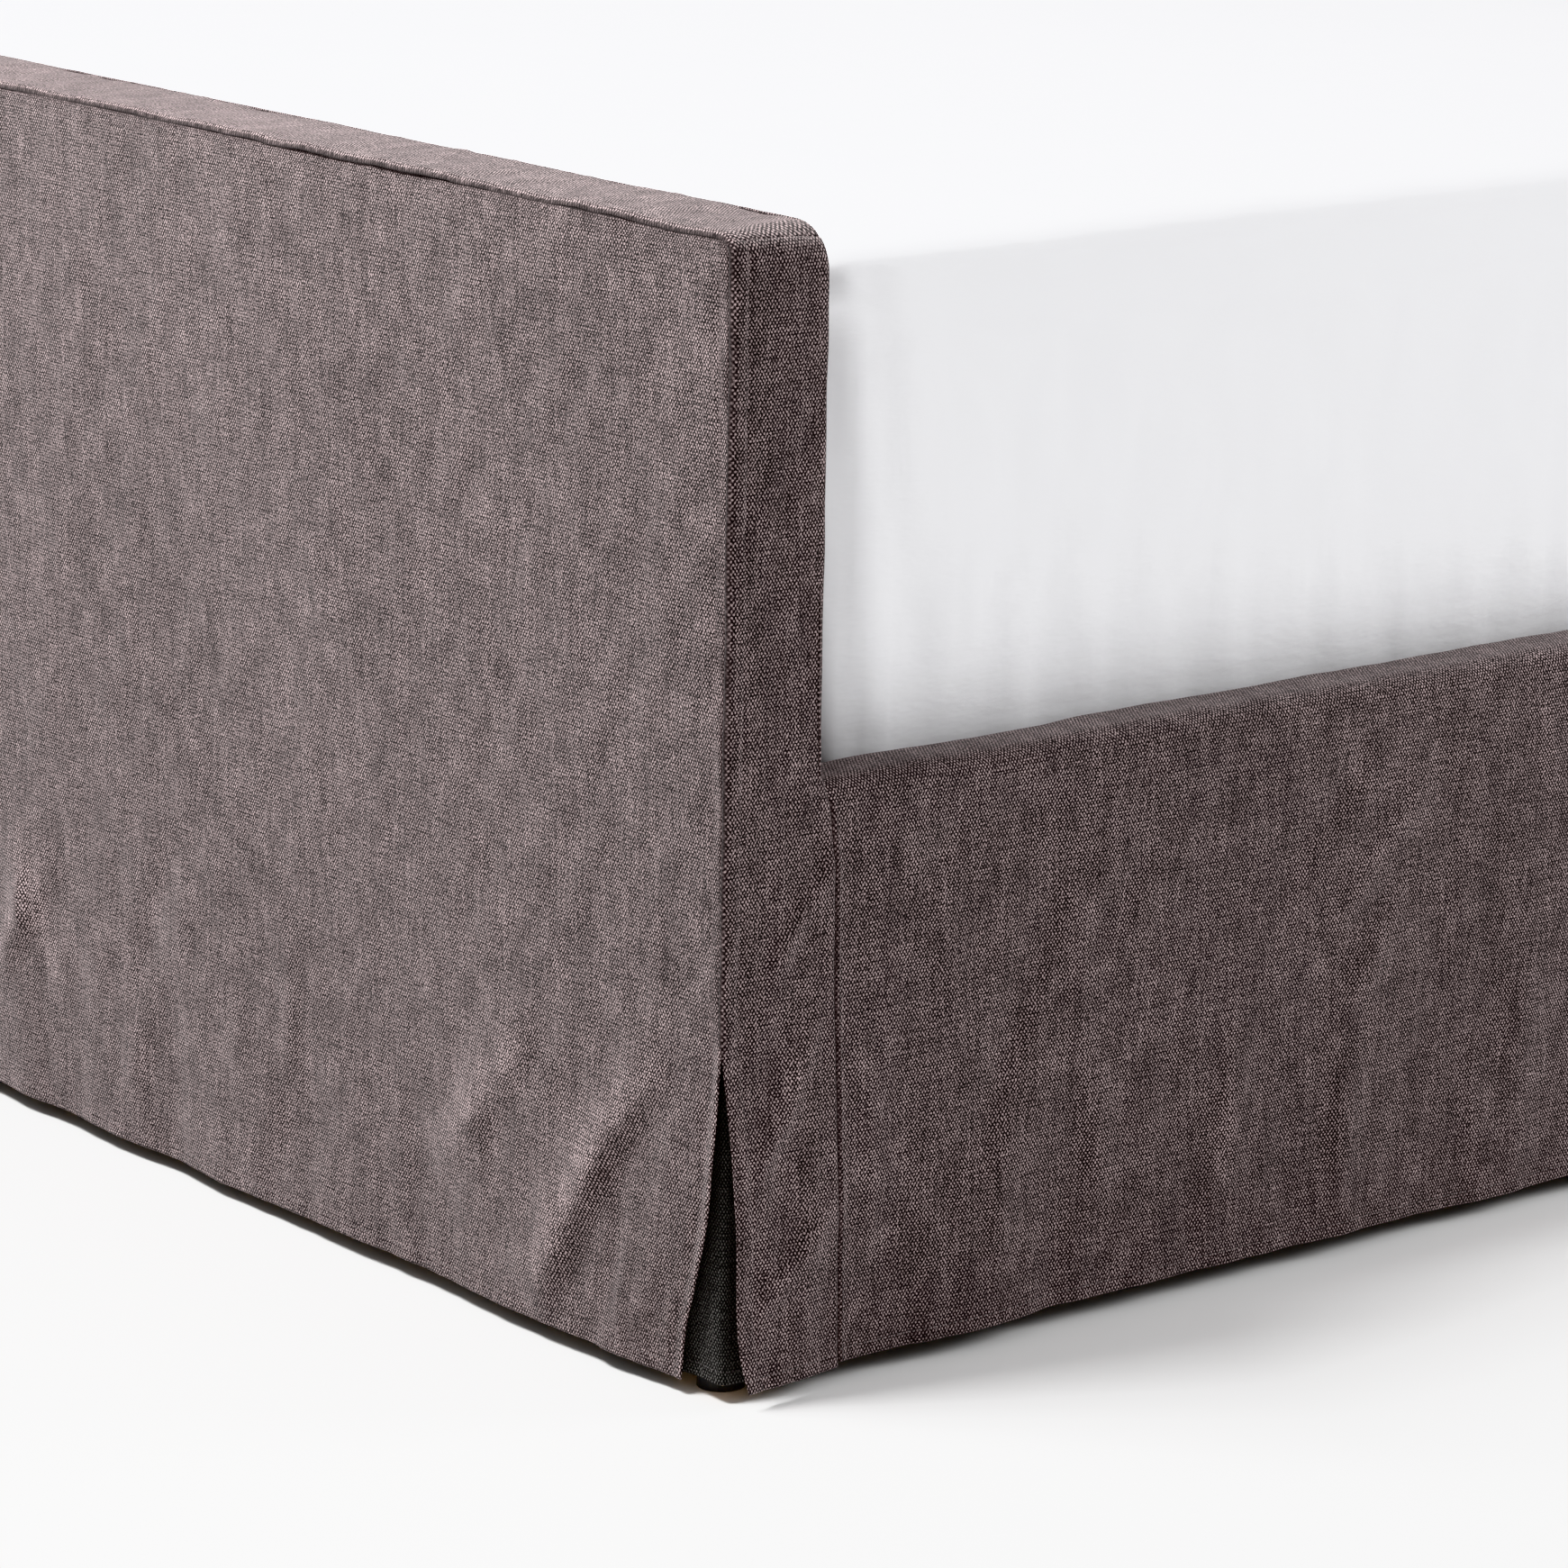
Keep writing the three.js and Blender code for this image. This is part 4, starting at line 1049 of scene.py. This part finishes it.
def rail_cover(side):
    section, outer_rows = rail_section()
    seed = 700 + side
    run = np.concatenate([[0], np.cumsum(np.linalg.norm(np.diff(section[:, :2], axis=0), axis=1))]) + RAIL_HEM
    edge = HALF_LENGTH - 0.095
    ys = lines(-1, 1, 7.5 * MM / edge, [(-1, 1.0 * MM / edge), (1, 1.0 * MM / edge), (-1 + 3.6 * MM / edge, 0.8 * MM / edge), (1 - 3.6 * MM / edge, 0.8 * MM / edge)])
    share, v = np.meshgrid(ys, run)
    x, z, out_x, out_z = (np.broadcast_to(section[:, k][:, None], share.shape) for k in range(4))
    rows = np.arange(len(section))
    # Beside a board the outer face stops at the end strip's seam, and the top runs on to the board.
    seam = np.minimum(HALF_LENGTH - rail_seam(section[:, 1]) - 0.2 * MM, RAIL_END)
    seam = np.where(rows > outer_rows + 5, RAIL_END, seam)[:, None]
    y = share * seam
    near_end = np.minimum(y + HALF_LENGTH, HALF_LENGTH - y)
    gap = seam - np.abs(y)
    outside = out_x > -0.5
    out = side_waves(side, y, v) * outside
    out += 0.25 * MM * wander(seed + 4, y, v, 0.05, 0.04) * bump(v, RAIL_TOP + 0.005, 0.03)
    out += hem_band(v - RAIL_HEM)
    ridge = 0.5 * MM * bump(gap, 3.4 * MM, 2.2 * MM) - 0.9 * MM * bump(gap, 0, 0.9 * MM)
    out += ridge * (z < RAIL_TOP - 0.012) * outside
    out = np.where(outside, np.maximum(out, -2.4 * MM), np.clip(out, -1.2 * MM, 0.8 * MM))
    top = out_z > 0.9
    out = np.where(top, np.minimum(out, 1.5 * MM), out)
    lift = (1 - step(v, 0.02, 0.15)) * 0.8 * MM * wander(seed + 7, y, v * 0, 0.5, 1)
    skin = np.stack([side * (x + out * out_x), y, z + out * out_z + lift], axis=2)
    # Painted highlight along the right rail's fold crests. The seam channel paints shade at the seam beside each
    # board.
    wear_and_painted_light = crest_highlight_of(y + HALF_LENGTH, v, RAIL_FOLDS) * (side > 0)
    seam_near = 0.85 * bump(gap, 0, 0.6 * SEAM_WIDE) * (z < RAIL_TOP - 0.012) * outside
    uv = np.stack([y * side, v, wear_and_painted_light, seam_near], axis=2)
    side_name = "right" if side > 0 else "left"
    outward = np.stack([side * out_x, out_x * 0, out_z], axis=2)
    name = f"rail_{side_name}_skirt"
    obj = shell(name, [(skin, uv, np.full(x.shape, CLOTH), outward)])
    settle(obj, cover_cloth, "frame", "cover_cloth", f"rail_{side_name}_cover")
    normal = shell_normals(skin, outward)
    hem_row = near(section[:outer_rows, 1], RAIL_HEM + STITCH_RISE)
    runs = [row_run(skin, normal, hem_row)]
    for column in (near(ys, -1 + 3.6 * MM / edge), near(ys, 1 - 3.6 * MM / edge)):
        runs.append((skin[: outer_rows - 1, column], normal[: outer_rows - 1, column]))
    thread_obj = stitches(f"{name}_stitches", runs)
    settle(thread_obj, cover_thread, "frame", "cover_cloth")
    return obj


def rail_padding(side):
    """A thin layer of wadding over a rail's board: down the outside and over the top."""
    skin_in = 4.6 * MM
    radius = RAIL_RADIUS - skin_in
    top, outside = RAIL_TOP - skin_in, HALF_WIDTH - skin_in
    path = [(outside, z, 1, 0) for z in lines(0.132, top - radius, 22 * MM)]
    for t in np.linspace(0, math.pi / 2, 6)[1:]:
        path.append((outside - radius * (1 - math.cos(t)), top - radius * (1 - math.sin(t)), math.cos(t), math.sin(t)))
    for x in np.linspace(outside - radius, RAIL_INSIDE + 4 * MM, 4)[1:]:
        path.append((x, top, 0, 1))
    path = np.array(path)
    run = np.concatenate([[0], np.cumsum(np.linalg.norm(np.diff(path[:, :2], axis=0), axis=1))])
    ys = lines(-RAIL_END + 2 * MM, RAIL_END - 2 * MM, 28 * MM)
    y, v = np.meshgrid(ys, run)
    x, z, out_x, out_z = (np.broadcast_to(path[:, k][:, None], y.shape) for k in range(4))
    out = 0.4 * MM * wander(720 + side, y, v, 0.12, 0.12) - 0.8 * MM
    skin = np.stack([side * (x + out * out_x), y, z + out * out_z], axis=2)
    side_name = "right" if side > 0 else "left"
    outward = np.stack([side * out_x, out_x * 0, out_z], axis=2)
    uv = np.stack([y, v], axis=2)
    obj = shell(f"rail_{side_name}_padding_wrap", [(skin, uv, np.full(x.shape, 3.6 * MM), outward)])
    settle(obj, padding_fill, "frame", "padding", f"rail_{side_name}_padding")
    return obj


# ---------------------------------------------------------------- mattress and sheet
def points_of(mesh):
    co = np.zeros(len(mesh.vertices) * 3, np.float32)
    mesh.vertices.foreach_get("co", co)
    return co.reshape(-1, 3).astype(float)


def normals_at(mesh):
    co = np.zeros(len(mesh.vertices) * 3, np.float32)
    mesh.vertices.foreach_get("normal", co)
    return co.reshape(-1, 3).astype(float)


def set_points(mesh, co):
    mesh.vertices.foreach_set("co", np.asarray(co, np.float32).ravel())
    mesh.update()


def apply_modifiers(obj):
    evaluated = obj.evaluated_get(bpy.context.evaluated_depsgraph_get())
    mesh = bpy.data.meshes.new_from_object(evaluated)
    obj.modifiers.clear()
    obj.data = mesh


def with_modifier(obj, kind, **settings):
    made = obj.modifiers.new(kind.lower(), kind)
    for key, value in settings.items():
        setattr(made, key, value)
    apply_modifiers(obj)


def inflate(obj, pressure, cap):
    """Swells a closed mesh with Blender's cloth, and caps how far any point moves."""
    rest = points_of(obj.data)
    cloth = obj.modifiers.new("cloth", "CLOTH")
    cloth.settings.quality = 4
    cloth.settings.mass = 0.4
    cloth.settings.tension_stiffness = 40
    cloth.settings.compression_stiffness = 40
    cloth.settings.shear_stiffness = 20
    cloth.settings.bending_stiffness = 4
    cloth.settings.use_pressure = True
    cloth.settings.uniform_pressure_force = pressure
    cloth.settings.effector_weights.gravity = 0
    cloth.collision_settings.use_collision = False
    cloth.point_cache.frame_start, cloth.point_cache.frame_end = 1, 20
    scene = bpy.context.scene
    for number in range(1, 21):
        scene.frame_set(number)
    evaluated = obj.evaluated_get(bpy.context.evaluated_depsgraph_get())
    moved = points_of(evaluated.data) - rest
    far = np.linalg.norm(moved, axis=1, keepdims=True)
    obj.modifiers.clear()
    scene.frame_set(1)
    set_points(obj.data, rest + moved * np.tanh(far / cap) * cap / np.maximum(far, 1e-9))


def mattress_and_sheet():
    low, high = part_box("mattress")
    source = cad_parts["mattress"]
    obj = bpy.data.objects.new("mattress_body", source.data.copy())
    obj.data.materials.clear()
    bpy.context.scene.collection.objects.link(obj)
    co = points_of(obj.data)
    middle = np.array((low + high) / 2)
    room = np.array([5, 5, 3]) * MM
    set_points(obj.data, middle + (co - middle) * (1 - room / (np.array(high - low) / 2)))
    with_modifier(obj, "REMESH", mode="VOXEL", voxel_size=22 * MM)
    # Round the long edges before it swells.
    with_modifier(obj, "SMOOTH", factor=0.5, iterations=4)
    inflate(obj, 4.0, 5 * MM)
    with_modifier(obj, "SUBSURF", levels=1, render_levels=1)
    co, normal = points_of(obj.data), normals_at(obj.data)
    rise = co[:, 2] - low.z
    tall = high.z - low.z
    sideways = np.hypot(normal[:, 0], normal[:, 1])
    flat = np.abs(normal[:, 2])
    out = 1.0 * MM * wander(900, co[:, 0] + co[:, 1], co[:, 2], 0.3, 0.2)
    tufts = np.cos(TAU * co[:, 0] / 0.19) * np.cos(TAU * co[:, 1] / 0.19)
    out += 2.0 * MM * tufts * flat
    out -= 3.5 * MM * bump(rise, tall - 0.030, 0.010) * sideways
    out -= 3.5 * MM * bump(rise, 0.030, 0.010) * sideways
    base = co
    co = co + normal * (out - 3.0 * MM)[:, None]
    edge = np.array([high.x, high.y]) - 1 * MM
    co[:, :2] = np.clip(co[:, :2], -edge, edge)
    co[:, 2] = np.clip(co[:, 2], low.z + 1 * MM, high.z - 1 * MM)
    set_points(obj.data, co)
    for polygon in obj.data.polygons:
        polygon.use_smooth = True

    # The sheet: the mattress's own upper surface, a little further out and with its own creases.
    sheet_low, sheet_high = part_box("fitted_sheet")
    skirt = sheet_low.z + 6 * MM
    sheet = bpy.data.objects.new("fitted_sheet_cloth", obj.data.copy())
    bpy.context.scene.collection.objects.link(sheet)
    set_points(sheet.data, base)
    work = bmesh.new()
    work.from_mesh(sheet.data)
    bmesh.ops.bisect_plane(
        work, geom=work.verts[:] + work.edges[:] + work.faces[:], plane_co=(0, 0, skirt),
        plane_no=(0, 0, 1), clear_inner=True,
    )
    work.to_mesh(sheet.data)
    work.free()
    co, normal = points_of(sheet.data), normals_at(sheet.data)
    x, y, z = co.T
    sideways = np.hypot(normal[:, 0], normal[:, 1])
    around = np.where(np.abs(normal[:, 0]) > np.abs(normal[:, 1]), y, x)
    flat = np.clip(normal[:, 2], 0, 1)
    out = 0.6 * MM + 0.25 * MM * wander(910, x, y, 0.06, 0.12) * flat
    out += 0.5 * MM * wander(911, x, y, 0.25, 0.35) * flat
    out += 0.45 * MM * wander(912, around, z, 0.045, 0.35) * sideways * step(z, 0.74, 0.40)
    drop = sheet_high.z - z
    out -= 4.2 * MM * bump(drop, 0.034, 0.016) * sideways
    out += 1.0 * MM * bump(drop, 0.013, 0.010)
    corner = bump(np.hypot(np.abs(x) - high.x + 0.03, np.abs(y) - high.y + 0.03), 0, 0.12)
    turn = np.arctan2(np.abs(y) - high.y + 0.06, np.abs(x) - high.x + 0.06)
    out += 0.9 * MM * corner * sideways * np.cos(9 * turn + 14 * drop)
    out -= 2.0 * MM * bump(z, skirt + 0.014, 0.006)
    co = co + normal * out[:, None]
    set_points(sheet.data, co)
    with_modifier(sheet, "SOLIDIFY", thickness=1.2 * MM, offset=1.0)
    co = points_of(sheet.data)
    edge = np.array([sheet_high.x, sheet_high.y]) + 3 * MM
    co[:, :2] = np.clip(co[:, :2], -edge, edge)
    set_points(sheet.data, co)
    for polygon in sheet.data.polygons:
        polygon.use_smooth = True
    settle(obj, ticking_cloth, "bedding", "ticking", "mattress")
    settle(sheet, sheet_linen, "bedding", "sheet_linen", "fitted_sheet")


for board in BOARDS:
    padding_wrap(board)
    outer_face(board)
    inner_face(board)
    top_strip(board)
    for side in (-1, 1):
        end_strip(board, side)
        pleat_insert(board, side)
for side in (-1, 1):
    rail_padding(side)
    rail_cover(side)
mattress_and_sheet()


# ---------------------------------------------------------------- the CAD's hard parts
def longest_axis(name):
    low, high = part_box(name)
    return max(range(3), key=lambda k: high[k] - low[k])


def look_for(name):
    if name.startswith("slat_"):
        return slat_wood
    if name.startswith("leveler_"):
        return leveler_steel
    if "glide" in name:
        return nylon
    if "bracket" in name:
        return bracket_steel
    if "core_panel" in name:
        return core_board
    return hardwood[longest_axis(name)]


for name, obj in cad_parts.items():
    if not obj.hide_render:
        obj.data.materials.clear()
        obj.data.materials.append(look_for(name))


# ---------------------------------------------------------------- floor, light and camera
def add_floor():
    size = 14.0
    steps = 8
    work = bmesh.new()
    bmesh.ops.create_grid(work, x_segments=steps, y_segments=steps, size=size)
    mesh = bpy.data.meshes.new("floor")
    work.to_mesh(mesh)
    work.free()
    floor = bpy.data.objects.new("floor", mesh)
    bpy.context.scene.collection.objects.link(floor)
    made, tree, shader = material("floor", 0.75, Specular_IOR_Level=0.2)
    place = node(tree, "ShaderNodeTexCoord").outputs["Object"]
    colour = blended(tree, noise(tree, place, 1.3, 3.0), (0.80, 0.80, 0.80, 1), (0.83, 0.83, 0.83, 1))
    tree.links.new(colour, shader.inputs["Base Color"])
    mesh.materials.append(made)


def add_light(name, place, target, power, width, height):
    data = bpy.data.lights.new(name, "AREA")
    data.shape = "RECTANGLE"
    data.size, data.size_y = width, height
    data.energy = power
    light = bpy.data.objects.new(name, data)
    light.location = place
    light.rotation_euler = (Vector(target) - Vector(place)).to_track_quat("-Z", "Y").to_euler()
    bpy.context.scene.collection.objects.link(light)


def add_camera():
    """The lens, place and direction found from the bed's straight edges."""
    yaw, pitch, roll = (math.radians(a) for a in (51.039, 14.0546, 0.8311))
    corner = Vector((HALF_WIDTH, -HALF_LENGTH, 0))
    look = Vector((-math.sin(yaw) * math.cos(pitch), math.cos(yaw) * math.cos(pitch), -math.sin(pitch)))
    level = Vector((math.cos(yaw), math.sin(yaw), 0))
    up = level.cross(look)
    right = level * math.cos(roll) + up * math.sin(roll)
    above = up * math.cos(roll) - level * math.sin(roll)
    data = bpy.data.cameras.new("camera")
    data.sensor_width = 36
    data.lens = 141.81
    data.clip_end = 100
    camera = bpy.data.objects.new("camera", data)
    turn = Matrix((right, above, -look)).transposed().to_4x4()
    camera.matrix_world = Matrix.Translation(corner + Vector((2.9226, -2.3168, 1.3501))) @ turn
    bpy.context.scene.collection.objects.link(camera)
    bpy.context.scene.camera = camera


def add_world(level):
    world = bpy.data.worlds.new("studio")
    world.use_nodes = True
    background = world.node_tree.nodes["Background"]
    background.inputs["Color"].default_value = (1.0, 1.0, 1.0, 1)
    background.inputs["Strength"].default_value = level
    bpy.context.scene.world = world


add_floor()
add_world(0.50)
add_light("key", (0.12, -2.05, 2.55), (0.45, -1.0, 0.8), 120, 1.0, 0.8)
add_light("top", (-1.8, -0.5, 2.6), (-0.7, -1.0, 0.9), 46, 1.4, 1.0)
add_light("fill", (3.1, 3.5, 2.5), (0.8, 0.0, 0.5), 205, 1.9, 1.9)
add_camera()
bpy.context.scene.view_settings.view_transform = "Khronos PBR Neutral"
